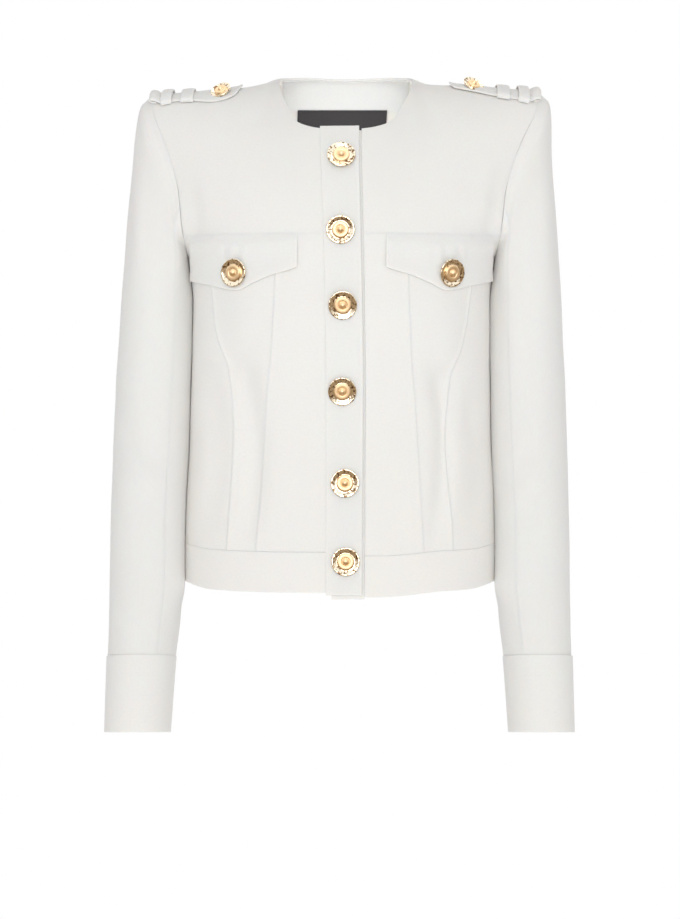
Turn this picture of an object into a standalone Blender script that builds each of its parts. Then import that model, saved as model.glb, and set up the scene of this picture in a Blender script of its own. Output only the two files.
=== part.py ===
"""Cropped jacket with a round neck, in the hollow form that it has when worn.

Metres, +Z up. The front faces -Y and +X is the wearer's left. The origin lies midway between the
two high shoulder points, where the jacket hangs on the shoulders. Each piece that a maker would cut
and sew on is an object of its own, a wall of cloth with a gap of 0.3 mm to its neighbours.
"""
import math
from collections import namedtuple

import bmesh
import bpy
from mathutils import Vector

CLOTH = 0.002            # thickness of the cloth wall
TRIM_CLOTH = 0.0016      # thickness of the small strips
FACING_CLOTH = 0.001     # thickness of the facing and the label
SEAM_GAP = 0.0003        # gap left between two pieces

HEM = -0.4745            # height of the hem
BAND_TOP = -0.437        # seam between the panels and the hem band
ARMPIT = -0.165          # lowest point of the armhole
YOKE_SEAM = -0.147       # seam under the front yoke
ARMHOLE_FULL = -0.115    # height at which the armhole reaches its full depth
ARMHOLE_FRONT = 0.064    # depth of the armhole in front of the shoulder line
ARMHOLE_BACK = 0.066     # depth of the armhole behind it
ROLL_POWER = 0.85        # below 1 the padded shoulder is flat on top
NECK_ROLL_POWER = 0.50   # flatter still behind the neck
NECK_ROLL_RUN = 0.06     # distance from the neck in which that fades
ROUNDNESS = 2.5          # exponent of the body's oval sections
OPENING = 0.53           # how far the section's exponent grows as the armhole deepens
OPENING_POWER = 1.7
ARMHOLE_SOFTNESS = 10.0  # how soon the round bottom of the armhole fades away from its edge

NECK_HALF = 0.062        # high shoulder point, out from the centre
NECK_BACK = 0.062        # back of the neck opening, behind the shoulder line
NECK_RISE = 0.011        # height that the back gains beside the neck
NECK_RISE_RUN = 0.058    # distance behind the shoulder line in which it rises
NAPE_RISE = 0.0155       # height that it gains besides at the nape
NAPE_START = 0.025       # distance behind the shoulder line where that begins
NAPE_RUN = 0.045         # distance in which it comes in
NECK_RISE_FADE = 0.035   # distance beside the neck in which the rise dies away
NECK_RISE_LOW = -0.110   # height at which the rise starts
NECK_RISE_SPAN = 0.095   # height in which it comes in
NECK_LEVEL = -0.015      # nominal height of the back neck's edge
BACK_SEAM_RISE = 0.17    # seam under the back yoke

BUTTON_RADIUS = 0.0130
SHOULDER_BUTTON_RADIUS = 0.0102

WHITE = (0.86, 0.84, 0.80)
BLACK = (0.035, 0.033, 0.034)
GOLD = (0.78, 0.56, 0.27)

Section = namedtuple("Section", "height front_edge back_edge front back")
BODY = (
    Section(-0.4745, 0.1510, 0.1510, 0.1130, 0.1010),
    Section(-0.4370, 0.1505, 0.1505, 0.1110, 0.0980),
    Section(-0.3900, 0.1480, 0.1480, 0.1070, 0.0920),
    Section(-0.3300, 0.1445, 0.1445, 0.1040, 0.0880),
    Section(-0.2900, 0.1435, 0.1435, 0.1060, 0.0900),
    Section(-0.2500, 0.1420, 0.1420, 0.1110, 0.0950),
    Section(-0.2090, 0.1414, 0.1414, 0.1160, 0.0990),
    Section(-0.1650, 0.1462, 0.1462, 0.1160, 0.1010),
    Section(-0.1450, 0.1484, 0.1515, 0.1155, 0.1015),
    Section(-0.1040, 0.1525, 0.1600, 0.1140, 0.1020),
    Section(-0.0800, 0.1585, 0.1660, 0.1120, 0.1020),
    Section(-0.0560, 0.1675, 0.1720, 0.1100, 0.1010),
    Section(-0.0300, 0.1780, 0.1790, 0.1080, 0.1000),
    Section(0.0000, 0.1845, 0.1845, 0.1080, 0.0980),
)

Shoulder = namedtuple("Shoulder", "out right left")
SHOULDER_LINE = (
    Shoulder(0.062, 0.0020, 0.0020),
    Shoulder(0.072, 0.0006, -0.0004),
    Shoulder(0.084, -0.0026, -0.0020),
    Shoulder(0.098, -0.0054, -0.0024),
    Shoulder(0.147, -0.0130, -0.0080),
    Shoulder(0.1845, -0.0160, -0.0117),
)

Sway = namedtuple("Sway", "height shift")
SWAY = (
    Sway(-0.610, -0.0063),
    Sway(-0.400, -0.0058),
    Sway(-0.300, -0.0053),
    Sway(-0.200, -0.0045),
    Sway(-0.100, -0.0039),
    Sway(-0.062, -0.0032),
    Sway(-0.030, -0.0016),
    Sway(0.000, 0.0000),
)

Neckline = namedtuple("Neckline", "out height")
NECKLINE = (
    Neckline(0.0100, -0.0505),
    Neckline(0.0240, -0.0490),
    Neckline(0.0360, -0.0460),
    Neckline(0.0445, -0.0415),
    Neckline(0.0505, -0.0315),
    Neckline(0.0550, -0.0225),
    Neckline(0.0585, -0.0160),
    Neckline(0.0610, -0.0085),
    Neckline(0.0620, 0.0000),
)

PlacketEdge = namedtuple("PlacketEdge", "height right left")
PLACKET = (
    PlacketEdge(-0.4770, -0.0127, 0.0202),
    PlacketEdge(-0.3890, -0.0128, 0.0205),
    PlacketEdge(-0.2980, -0.0133, 0.0206),
    PlacketEdge(-0.2070, -0.0148, 0.0188),
    PlacketEdge(-0.1350, -0.0171, 0.0170),
    PlacketEdge(-0.0470, -0.0216, 0.0143),
)
PLACKET_TOP = -0.0480
PLACKET_END = -0.4765
UNDER_PLACKET_END = -0.4805
UNDER_PLACKET_TOP = -0.0510
PLACKET_LIFT = 0.0010    # the top placket stands proud of the fronts
UNDER_PLACKET_DROP = 0.0014
FREE_EDGE_GAP = 0.0024   # from the placket's free edge to the left front

SeamLine = namedtuple("SeamLine", "height inner outer back")
SHAPED_SEAMS = (
    SeamLine(-0.437, 0.0780, 0.1050, 0.0640),
    SeamLine(-0.372, 0.0735, 0.1017, 0.0560),
    SeamLine(-0.330, 0.0710, 0.0998, 0.0530),
    SeamLine(-0.295, 0.0682, 0.1020, 0.0550),
    SeamLine(-0.260, 0.0648, 0.1105, 0.0600),
    SeamLine(-0.223, 0.0628, 0.1185, 0.0680),
    SeamLine(-0.190, 0.0612, 0.1210, 0.0770),
    SeamLine(-0.120, 0.0600, 0.1220, 0.0950),
)

FlapEdge = namedtuple("FlapEdge", "out bottom")
FLAP = (
    FlapEdge(0.0400, -0.1775),
    FlapEdge(0.0440, -0.1790),
    FlapEdge(0.0640, -0.1848),
    FlapEdge(0.0820, -0.1925),
    FlapEdge(0.0930, -0.1977),
    FlapEdge(0.0985, -0.1980),
    FlapEdge(0.1060, -0.1966),
    FlapEdge(0.1200, -0.1929),
    FlapEdge(0.1400, -0.1884),
)
FlapRow = namedtuple("FlapRow", "level drop")   # drop: share of the way from armpit to bottom edge
FLAP_ROWS = (
    FlapRow(-0.1465, 0.0),
    FlapRow(-0.1555, 0.0),
    FlapRow(-0.1619, 0.0),
    FlapRow(-0.1650, 0.0),
    FlapRow(-0.1650, 0.5),
    FlapRow(-0.1650, 1.0),
)
FLAP_LIFT = 0.0026       # outer face of the flap above the panel's outer face
FLAP_CLOTH = 0.0020

CapRing = namedtuple("CapRing", "outer drop inner bottom half_depth")   # drop: below the tip
SLEEVE_CAP = (
    CapRing(0.1885, 0.0036, 0.1482, -0.1685, 0.0630),
    CapRing(0.1932, 0.0075, 0.1482, -0.1720, 0.0630),
    CapRing(0.1960, 0.0175, 0.1477, -0.1765, 0.0620),
    CapRing(0.1994, 0.0630, 0.1466, -0.1835, 0.0605),
    CapRing(0.2036, 0.1120, 0.1457, -0.1905, 0.0590),
    CapRing(0.2072, 0.1570, 0.1450, -0.1985, 0.0575),
)

SleeveRing = namedtuple("SleeveRing", "height inner outer middle half_depth tilt")
SLEEVE = (
    SleeveRing(-0.6110, 0.1592, 0.2196, -0.0630, 0.0420, 9.5),
    SleeveRing(-0.5410, 0.1545, 0.2184, -0.0500, 0.0435, 9.5),
    SleeveRing(-0.4950, 0.1500, 0.2172, -0.0410, 0.0450, 9.0),
    SleeveRing(-0.4500, 0.1498, 0.2175, -0.0310, 0.0465, 8.0),
    SleeveRing(-0.4000, 0.1495, 0.2173, -0.0220, 0.0480, 7.0),
    SleeveRing(-0.3500, 0.1474, 0.2161, -0.0140, 0.0495, 5.0),
    SleeveRing(-0.3000, 0.1455, 0.2147, -0.0080, 0.0515, 3.0),
    SleeveRing(-0.2500, 0.1445, 0.2122, -0.0030, 0.0540, 1.0),
    SleeveRing(-0.2070, 0.1447, 0.2098, -0.0010, 0.0560, 0.0),
)
SLEEVE_ROUNDNESS = 2.2
CUFF_SEAM = -0.541
CUFF_END = -0.611
CUFF_FULLNESS = 0.0008   # the cuff is this much larger than the sleeve, all round
AROUND_SLEEVE = 24       # facets around a sleeve
FRONT_SLEEVE_SEAM = 8    # facets from the shoulder forward to the front seam
BACK_SLEEVE_SEAM = 17    # facets from the shoulder, through front and armpit, to the back seam

YOKE_RISES = (1.0, 0.91, 0.83, 0.75, 0.64, 0.52, 0.40, 0.28, BACK_SEAM_RISE)   # rows of the yokes
YOKE_ROWS = len(YOKE_RISES)
SIDE_RISES = (0.0366, 0.0120, 0.0)   # the armhole's rows below the yoke seam
NECK_COLUMNS = (1.0, 0.965, 0.88, 0.76, 0.60, 0.41, 0.21)   # shares of the neck's half width
NECKLINE_COLUMNS = (0.34, 0.64, 0.85, 0.955)   # shares from the placket to the high shoulder point

TabRow = namedtuple("TabRow", "out front back lift")
SHOULDER_TAB = (
    TabRow(0.0975, -0.0240, -0.0140, 0.0022),
    TabRow(0.0995, -0.0320, -0.0060, 0.0020),
    TabRow(0.1020, -0.0360, 0.0010, 0.0018),
    TabRow(0.1120, -0.0385, 0.0040, 0.0016),
    TabRow(0.1240, -0.0405, 0.0050, 0.0016),
    TabRow(0.1370, -0.0420, 0.0050, 0.0016),
    TabRow(0.1470, -0.0410, 0.0050, 0.0016),
    TabRow(0.1575, -0.0395, 0.0050, 0.0016),
    TabRow(0.1630, -0.0380, 0.0050, 0.0017),
    TabRow(0.1700, -0.0365, 0.0050, 0.0020),
    TabRow(0.1732, -0.0355, 0.0050, 0.0023),
    TabRow(0.1754, -0.0345, 0.0050, 0.0038),
    TabRow(0.1780, -0.0335, 0.0050, 0.0054),
    TabRow(0.1806, -0.0325, 0.0050, 0.0058),
    TabRow(0.1826, -0.0320, 0.0050, 0.0050),
    TabRow(0.1832, -0.0320, 0.0050, 0.0036),
    TabRow(0.1820, -0.0320, 0.0050, 0.0022),
    TabRow(0.1790, -0.0330, 0.0050, 0.0017),
    TabRow(0.1762, -0.0340, 0.0050, 0.0016),
)
TAB_COLUMNS = 5
TAB_TOP_ROWS = 12        # rows before the fold

Loop = namedtuple("Loop", "name inner outer top_lift")
SHOULDER_LOOPS = (
    Loop("inner", 0.1415, 0.1535, 0.0044),
    Loop("outer", 0.1616, 0.1718, 0.0051),
)
LoopStep = namedtuple("LoopStep", "across beyond share")   # across the tab, beyond its edge
LOOP_STEPS = (
    LoopStep(0.00, -0.0050, 0.24),
    LoopStep(0.00, -0.0024, 0.46),
    LoopStep(0.00, -0.0014, 0.80),
    LoopStep(0.08, 0.0000, 1.00),
    LoopStep(0.38, 0.0000, 1.00),
    LoopStep(0.66, 0.0000, 1.00),
    LoopStep(0.94, 0.0000, 1.00),
    LoopStep(1.00, 0.0014, 0.80),
    LoopStep(1.00, 0.0024, 0.46),
    LoopStep(1.00, 0.0050, 0.24),
)

FrontButton = namedtuple("FrontButton", "height x")
FRONT_BUTTONS = (
    FrontButton(-0.0737, -0.0012),
    FrontButton(-0.1443, -0.0011),
    FrontButton(-0.2120, 0.0011),
    FrontButton(-0.2903, 0.0014),
    FrontButton(-0.3736, 0.0045),
    FrontButton(-0.4460, 0.0051),
)
POCKET_BUTTON = (0.1010, -0.1822)      # out from the centre, height
SHOULDER_BUTTON = (0.1195, -0.0240)    # out from the centre, in front of the shoulder line

FACING_ROWS = 3                        # the facing reaches down this many rows of the yoke
LINING_GAP = 0.0008                    # from the yoke's inner face to the facing and the label
LABEL = (-0.0467, 0.0417)              # ends of the woven label, across
LABEL_RISES = (0.60, 0.64, 0.745)      # rows of the label, up to the facing


def between(rows, where, column):
    """Smooth value of a named column at a place along the table's first column."""
    keys = [row[0] for row in rows]
    values = [getattr(row, column) for row in rows]
    if where <= keys[0]:
        return values[0]
    if where >= keys[-1]:
        return values[-1]
    k = 0
    while keys[k + 1] < where:
        k += 1

    def slope(i):
        if i == 0 or i == len(keys) - 1:
            j = max(i, 1)
            return (values[j] - values[j - 1]) / (keys[j] - keys[j - 1])
        before = (values[i] - values[i - 1]) / (keys[i] - keys[i - 1])
        after = (values[i + 1] - values[i]) / (keys[i + 1] - keys[i])
        if before * after <= 0:
            return 0.0
        return 2 * before * after / (before + after)

    span = keys[k + 1] - keys[k]
    t = (where - keys[k]) / span
    start = (1 + 2 * t) * (1 - t) ** 2 * values[k]
    end = t * t * (3 - 2 * t) * values[k + 1]
    leave = t * (1 - t) ** 2 * span * slope(k)
    arrive = t * t * (t - 1) * span * slope(k + 1)
    return start + end + leave + arrive


def smooth(t):
    """Share from 0 to 1 that starts and ends gently."""
    t = min(max(t, 0.0), 1.0)
    return t * t * (3 - 2 * t)


def level_of(rise):
    """Nominal height for a rise of -1 at the hem, 0 at the armpit and 1 on the shoulder line."""
    if rise <= 0:
        return ARMPIT + rise * (ARMPIT - HEM)
    return ARMPIT - ARMPIT * math.sin(rise * math.pi / 2)


def rise_of(level):
    """Rise for a nominal height: the inverse of level_of."""
    if level <= ARMPIT:
        return (level - ARMPIT) / (ARMPIT - HEM)
    return math.asin(min(1.0, (level - ARMPIT) / -ARMPIT)) / (math.pi / 2)


def edge_at(face, level):
    """Half width at which the front or back ends, at the side seam or the armhole."""
    return between(BODY, level, face + "_edge")


def armhole_depth(face, level, share=1.0):
    """Distance of the armhole's edge from the shoulder line, before the shoulder rolls over.

    The armhole is round at the bottom. Away from its edge the surface opens more gently.
    """
    full = ARMHOLE_FRONT if face == "front" else ARMHOLE_BACK
    if level <= ARMPIT:
        return 0.0
    if level >= ARMHOLE_FULL:
        return full
    below = (ARMHOLE_FULL - level) / (ARMHOLE_FULL - ARMPIT)
    return full * (1 - below * below) ** (0.5 + min(1.0, ARMHOLE_SOFTNESS * (1 - share)))


def section_depth(face, x, level):
    """Distance of the front or back from the shoulder line, before the shoulder rolls over."""
    share = min(1.0, abs(x) / edge_at(face, level))
    side_depth = armhole_depth(face, level, share)
    opened = side_depth / armhole_depth(face, 0.0)
    power = 1 / ROUNDNESS + OPENING * opened ** OPENING_POWER
    middle_depth = between(BODY, level, face)
    return side_depth + (middle_depth - side_depth) * (1 - share ** ROUNDNESS) ** power


def roll_power(face, x):
    """Power of the shoulder's roll, lower near the back neck, where it is flatter."""
    if face == "front":
        return ROLL_POWER
    near = smooth(1 - (abs(x) - NECK_HALF) / NECK_ROLL_RUN)
    return ROLL_POWER - (ROLL_POWER - NECK_ROLL_POWER) * near


def neck_cut(x, rise):
    """Rise on the back for a share of the way up to the edge of the neck opening."""
    seam = BACK_SEAM_RISE
    if rise <= seam or abs(x) >= NECK_HALF:
        return rise
    edge_depth = NECK_BACK * (1 - (abs(x) / NECK_HALF) ** ROUNDNESS) ** (1 / ROUNDNESS)
    share = edge_depth / section_depth("back", x, NECK_LEVEL)
    end = math.acos(share ** (1 / roll_power("back", x))) / (math.pi / 2)
    return seam + (rise - seam) * (end - seam) / (1 - seam)


def surface(face, x, rise):
    """Point of the outer surface at a distance across and a rise."""
    if face == "back":
        rise = neck_cut(x, rise)
    level = level_of(rise)
    depth = section_depth(face, x, level)
    if rise > 0:
        depth *= max(0.0, math.cos(rise * math.pi / 2)) ** roll_power(face, x)
        climb = 0.0
        if face == "back":
            climb = NECK_RISE * math.sin(math.pi / 2 * min(1.0, depth / NECK_RISE_RUN))
            climb += NAPE_RISE * smooth((depth - NAPE_START) / NAPE_RUN) ** 2
            climb *= smooth(1 - (abs(x) - NECK_HALF) / NECK_RISE_FADE)
            climb *= smooth((level - NECK_RISE_LOW) / NECK_RISE_SPAN)
        side = "left" if x >= 0 else "right"
        level += between(SHOULDER_LINE, abs(x), side) * rise ** 3 + climb
    return Vector((x, -depth if face == "front" else depth, level))


def shell(face, share, rise):
    """Point and outward normal at a share of the half width, from -1 to 1, and a rise."""
    nudge = 1e-4
    step = 0.01
    level = level_of(rise)

    def at(part, height):
        return surface(face, part * edge_at(face, level_of(height)), height)

    point = surface(face, share * edge_at(face, level), rise)
    across = at(min(1.0, share + nudge), rise) - at(max(-1.0, share - nudge), rise)
    up = at(share, min(1.0, rise + step)) - at(share, rise - step)
    normal = across.cross(up).normalized()
    if face == "back":
        normal.negate()
    return point, normal


def spread(face, start_x, end_x, rise, columns):
    """Shares of the half width in even turns round the section, from one x to another."""
    edge = edge_at(face, level_of(rise))

    def turn_of(x):
        share = min(1.0, abs(x) / edge)
        return math.copysign(math.asin(share ** (ROUNDNESS / 2)), x)

    start = turn_of(start_x)
    end = turn_of(end_x)
    shares = []
    for j in range(columns + 1):
        turn = start + (end - start) * j / columns
        shares.append(math.copysign(abs(math.sin(turn)) ** (2 / ROUNDNESS), turn))
    return shares


def strip(face, start, end, rises, columns):
    """Rows of points between two seam lines, each a function of height that gives x."""
    rows = []
    for rise in rises:
        level = level_of(rise)
        shares = spread(face, start(level), end(level), rise, columns)
        rows.append([shell(face, share, rise) for share in shares])
    return rows


def swayed(point):
    """The jacket hangs a little to its right as it goes down."""
    return point + Vector((between(SWAY, point.z, "shift"), 0, 0))


def trimmed(grid, around):
    """Grid whose borders are drawn in by half a seam gap."""
    last = len(grid) - 1
    end = len(grid[0]) - 1
    half = SEAM_GAP / 2
    result = [[point.copy() for point in row] for row in grid]
    for j in range(end + 1):
        result[0][j] += (grid[1][j] - grid[0][j]).normalized() * half
        result[last][j] += (grid[last - 1][j] - grid[last][j]).normalized() * half
    if not around:
        for i in range(last + 1):
            result[i][0] += (grid[i][1] - grid[i][0]).normalized() * half
            result[i][end] += (grid[i][end - 1] - grid[i][end]).normalized() * half
    return result


def cloth(name, rows, colour=WHITE, lift=0.0, thickness=CLOTH, around=False):
    """Wall of cloth from rows of points and normals, closed into a tube where around is set."""
    outer = trimmed([[point + normal * lift for point, normal in row] for row in rows], around)
    inner = trimmed([[point + normal * (lift - thickness) for point, normal in row] for row in rows],
                    around)
    mesh = bpy.data.meshes.new(name)
    bm = bmesh.new()
    outside = [[bm.verts.new(swayed(point)) for point in row] for row in outer]
    inside = [[bm.verts.new(swayed(point)) for point in row] for row in inner]
    last = len(rows) - 1
    width = len(rows[0])
    columns = width if around else width - 1
    for i in range(last):
        for j in range(columns):
            k = (j + 1) % width
            bm.faces.new((outside[i][j], outside[i][k], outside[i + 1][k], outside[i + 1][j]))
            bm.faces.new((inside[i][j], inside[i + 1][j], inside[i + 1][k], inside[i][k]))
    for i in (0, last):
        for j in range(columns):
            k = (j + 1) % width
            bm.faces.new((outside[i][j], outside[i][k], inside[i][k], inside[i][j]))
    if not around:
        for j in (0, width - 1):
            for i in range(last):
                bm.faces.new((outside[i][j], outside[i + 1][j], inside[i + 1][j], inside[i][j]))
    bmesh.ops.recalc_face_normals(bm, faces=bm.faces)
    bm.to_mesh(mesh)
    bm.free()
    mesh.shade_smooth()
    mesh.set_sharp_from_angle(angle=math.radians(40))
    return add_object(name, mesh, colour, roughness=0.85, metallic=0.0)


def add_object(name, mesh, colour, roughness, metallic):
    """Object in the jacket's collection, with a material of its own."""
    material = bpy.data.materials.new(name)
    material.use_nodes = True
    finish = material.node_tree.nodes["Principled BSDF"]
    finish.inputs["Base Color"].default_value = (*colour, 1.0)
    finish.inputs["Roughness"].default_value = roughness
    finish.inputs["Metallic"].default_value = metallic
    mesh.materials.append(material)
    obj = bpy.data.objects.new(name, mesh)
    JACKET.objects.link(obj)
    return obj


def placket_edge(column):
    """x of one edge of the top placket, as a function of height."""
    return lambda level: between(PLACKET, level, column)


def left_front_edge(level):
    """x at which the left front starts, beyond the placket's free edge."""
    return between(PLACKET, level, "left") + FREE_EDGE_GAP


def shaped_seam(column, side):
    """x of a shaped seam on one side, as a function of height."""
    return lambda level: side * between(SHAPED_SEAMS, level, column)


def side_edge(face, side):
    """x of the side seam and armhole, as a function of height."""
    return lambda level: side * edge_at(face, level)


def front_start(side):
    """Edge of a front next to the placket."""
    return left_front_edge if side > 0 else placket_edge("right")


def armhole_rises():
    """Rises of the armhole's points, from the shoulder tip down to the armpit."""
    return list(YOKE_RISES) + [rise_of(YOKE_SEAM)] + list(SIDE_RISES)


PANEL_LEVELS = (BAND_TOP, -0.410, -0.380, -0.350, -0.320, -0.290, -0.260, -0.235, -0.209, -0.187)


def panel_rises(top_count):
    """Rises of a panel's rows, from the hem band up to a row of the armhole."""
    upper = list(reversed(armhole_rises()))[:top_count]
    return [rise_of(level) for level in PANEL_LEVELS] + upper


def neck_rise_at(x):
    """Rise of the front neckline at a distance from the centre."""
    return rise_of(between(NECKLINE, abs(x), "height"))


def yoke_seam_shares(side):
    """Shares at which the columns of the three panels meet the front yoke."""
    rise = rise_of(YOKE_SEAM)
    shares = []
    for start, end, columns in front_panels(side):
        shares = shares[:-1] + spread("front", start(YOKE_SEAM), end(YOKE_SEAM), rise, columns)
    return shares


def front_yoke(name, side):
    """Yoke from the seam over the pocket up to the neckline and the shoulder seam."""
    start = front_start(side)
    bottom_rise = rise_of(YOKE_SEAM)
    bottom = [(share, bottom_rise) for share in yoke_seam_shares(side)]
    columns = len(bottom) - 1
    corner_x = start(-0.050)
    top = [(corner_x, neck_rise_at(corner_x))]
    for share in NECKLINE_COLUMNS:
        x = corner_x + (side * NECK_HALF - corner_x) * share
        top.append((x, neck_rise_at(x)))
    tip = edge_at("front", 0.0)
    shoulder_columns = columns - len(top)
    for j in range(shoulder_columns + 1):
        x = side * (NECK_HALF + (tip - NECK_HALF) * j / shoulder_columns)
        top.append((x, 1.0))
    top = [(x / tip_width("front", rise), rise) for x, rise in top]
    rows = []
    armhole = armhole_rises()
    for i in range(YOKE_ROWS + 1):
        v = i / YOKE_ROWS
        left_rise = bottom_rise + (top[0][1] - bottom_rise) * v
        left = (start(level_of(left_rise)) / tip_width("front", left_rise), left_rise)
        right = (float(side), armhole[YOKE_ROWS - i])
        row = []
        for j in range(columns + 1):
            u = j / columns
            place = [blend_patch(u, v, axis, bottom[j], top[j], left, right, bottom, top)
                     for axis in (0, 1)]
            row.append(shell("front", place[0], place[1]))
        rows.append(row)
    return cloth(name, rows)


def tip_width(face, rise):
    """Half width of a face at a rise."""
    return edge_at(face, level_of(rise))


def blend_patch(u, v, axis, low, high, left, right, bottom, top):
    """One coordinate of a patch that is spanned between its four edges."""
    ruled_up = low[axis] * (1 - v) + high[axis] * v
    ruled_across = left[axis] * (1 - u) + right[axis] * u
    near = bottom[0][axis] * (1 - v) + top[0][axis] * v
    far = bottom[-1][axis] * (1 - v) + top[-1][axis] * v
    return ruled_up + ruled_across - near * (1 - u) - far * u


def back_yoke():
    """Back yoke, from armhole to armhole, up to both shoulder seams and the back neck."""
    outs = (1.0, 0.89, 0.78, 0.67, 0.56, 0.45)
    rows = []
    for rise in reversed(armhole_rises()[:YOKE_ROWS]):
        width = tip_width("back", rise)
        neck_share = NECK_HALF / width
        half = [share for share in outs] + [neck_share * share for share in NECK_COLUMNS]
        shares = [-share for share in half] + [0.0] + list(reversed(half))
        rows.append([shell("back", share, rise) for share in shares])
    return cloth("back_yoke", rows)


def front_panels(side):
    """Edges and columns of the panels from the placket round to the side seam."""
    inner = shaped_seam("inner", side)
    outer = shaped_seam("outer", side)
    return ((front_start(side), inner, 4), (inner, outer, 4), (outer, side_edge("front", side), 5))


def fronts():
    """Panels under the front yoke."""
    names = ("centre_front_", "front_panel_", "side_front_")
    for side, word in SIDES:
        rises = panel_rises(len(SIDE_RISES) + 1)
        for name, (start, end, columns) in zip(names, front_panels(side)):
            cloth(name + word, strip("front", start, end, rises, columns))


def backs():
    """Panels under the back yoke: a centre back and two side backs."""
    rises = panel_rises(len(SIDE_RISES) + 2)
    cloth("centre_back", strip("back", shaped_seam("back", -1), shaped_seam("back", 1), rises, 8))
    for side, word in SIDES:
        seam = shaped_seam("back", side)
        cloth("side_back_" + word, strip("back", seam, side_edge("back", side), rises, 6))


def hem_bands():
    """Band round the hem, in two fronts and a back."""
    rises = [rise_of(level) for level in (HEM, (HEM + BAND_TOP) / 2, BAND_TOP)]
    for side, word in SIDES:
        rows = strip("front", front_start(side), side_edge("front", side), rises, 12)
        cloth("hem_band_" + word, rows, thickness=0.0024)
    rows = strip("back", side_edge("back", -1), side_edge("back", 1), rises, 20)
    cloth("hem_band_back", rows, thickness=0.0024)


def plackets():
    """Buttoning strip on the wearer's right front and the strip that it buttons over."""
    middle = list(PANEL_LEVELS) + [ARMPIT, YOKE_SEAM, -0.120, -0.092, -0.069]
    rises = [rise_of(level) for level in [PLACKET_END] + middle + [PLACKET_TOP]]
    rows = strip("front", placket_edge("right"), placket_edge("left"), rises, 4)
    cloth("button_placket", rows, lift=PLACKET_LIFT)
    rises = [rise_of(level) for level in [UNDER_PLACKET_END] + middle + [UNDER_PLACKET_TOP]]
    rows = strip("front", under_placket_start, left_front_edge, rises, 3)
    cloth("under_placket", rows, lift=-UNDER_PLACKET_DROP, thickness=TRIM_CLOTH)


def under_placket_start(level):
    """x of the hidden edge of the under placket."""
    return between(PLACKET, level, "right") + 0.005


def pocket_flaps():
    """Flaps sewn into the yoke seam, each with a blunt point under its button."""
    columns = 14
    for side, word in SIDES:
        width = edge_at("front", ARMPIT)
        shares = spread("front", FLAP[0].out, FLAP[-1].out, rise_of(ARMPIT), columns)
        outs = [share * width for share in shares]
        rows = []
        for level, drop in FLAP_ROWS:
            row = []
            for out in outs:
                rise = rise_of(level + (between(FLAP, out, "bottom") - ARMPIT) * drop)
                row.append(shell("front", side * out / tip_width("front", rise), rise))
            rows.append(row)
        cloth("pocket_flap_" + word, rows, lift=FLAP_LIFT, thickness=FLAP_CLOTH)


def ring_point(outer, inner, middle, half_depth, turn, lean):
    """Point of an oval ring between an outer and an inner point, each (x, z)."""
    along = math.cos(turn)
    across = math.sin(turn)
    power = 2 / SLEEVE_ROUNDNESS
    along = math.copysign(abs(along) ** power, along)
    across = math.copysign(abs(across) ** power, across)
    x = (outer[0] + inner[0]) / 2 + (outer[0] - inner[0]) / 2 * along
    z = (outer[1] + inner[1]) / 2 + (outer[1] - inner[1]) / 2 * along
    depth = -half_depth * across
    return Vector((x, middle + depth, z - depth * math.tan(lean)))


def armhole_loop(side):
    """Points and normals of the armhole, from the tip through the front to the armpit and back."""
    rises = armhole_rises()
    front = [shell("front", side, rise) for rise in rises]
    back = [shell("back", side, rise) for rise in rises]
    return front + list(reversed(back))[1:-1]


def sleeve_rings(side, loop):
    """Rings of a whole sleeve, from the armhole to the cuff seam."""
    turns = [2 * math.pi * i / AROUND_SLEEVE for i in range(AROUND_SLEEVE)]
    tip = loop[0]
    armpit = loop[len(armhole_rises()) - 1]
    out = Vector((side * SEAM_GAP, 0, 0))
    flat = [ring_point((abs(tip.x), tip.z), (abs(armpit.x), armpit.z), 0.0, ARMHOLE_FRONT, turn, 0)
            for turn in turns]
    strays = [Vector((abs(a.x), a.y, a.z)) - b for a, b in zip(loop, flat)]
    rings = [[point + out for point in loop]]
    for k, row in enumerate(SLEEVE_CAP):
        fade = 1 - smooth((k + 1) / (len(SLEEVE_CAP) + 1))
        ring = []
        for turn, stray in zip(turns, strays):
            point = ring_point((row.outer, tip.z - row.drop), (row.inner, row.bottom), 0.0,
                               row.half_depth, turn, 0)
            point += stray * fade
            ring.append(Vector((side * point.x, point.y, point.z)))
        rings.append(ring)
    for row in reversed(SLEEVE[1:]):
        rings.append(sleeve_ring(row, side, 0.0, turns))
    return rings


def sleeve_ring(row, side, fullness, turns):
    """One ring of the lower sleeve or the cuff."""
    ring = []
    for turn in turns:
        point = ring_point((row.outer + fullness, row.height), (row.inner - fullness, row.height),
                           row.middle, row.half_depth + fullness, turn, math.radians(row.tilt))
        ring.append(Vector((side * point.x, point.y, point.z)))
    return ring


def with_normals(rings, side):
    """Points of closed rings with normals that point out of the tube."""
    count = len(rings[0])
    rows = []
    for i, ring in enumerate(rings):
        above = rings[max(i - 1, 0)]
        below = rings[min(i + 1, len(rings) - 1)]
        row = []
        for j, point in enumerate(ring):
            across = ring[(j + 1) % count] - ring[j - 1]
            down = below[j] - above[j]
            normal = across.cross(down) * side
            row.append((point, normal.normalized()))
        rows.append(row)
    return rows


def seam_normal(normal, body_normal):
    """Normal of the sleeve at the armhole, that of the body where both face the same way."""
    agreement = max(0.0, normal.dot(body_normal))
    return (normal * (1 - agreement) + body_normal * agreement).normalized()


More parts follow.
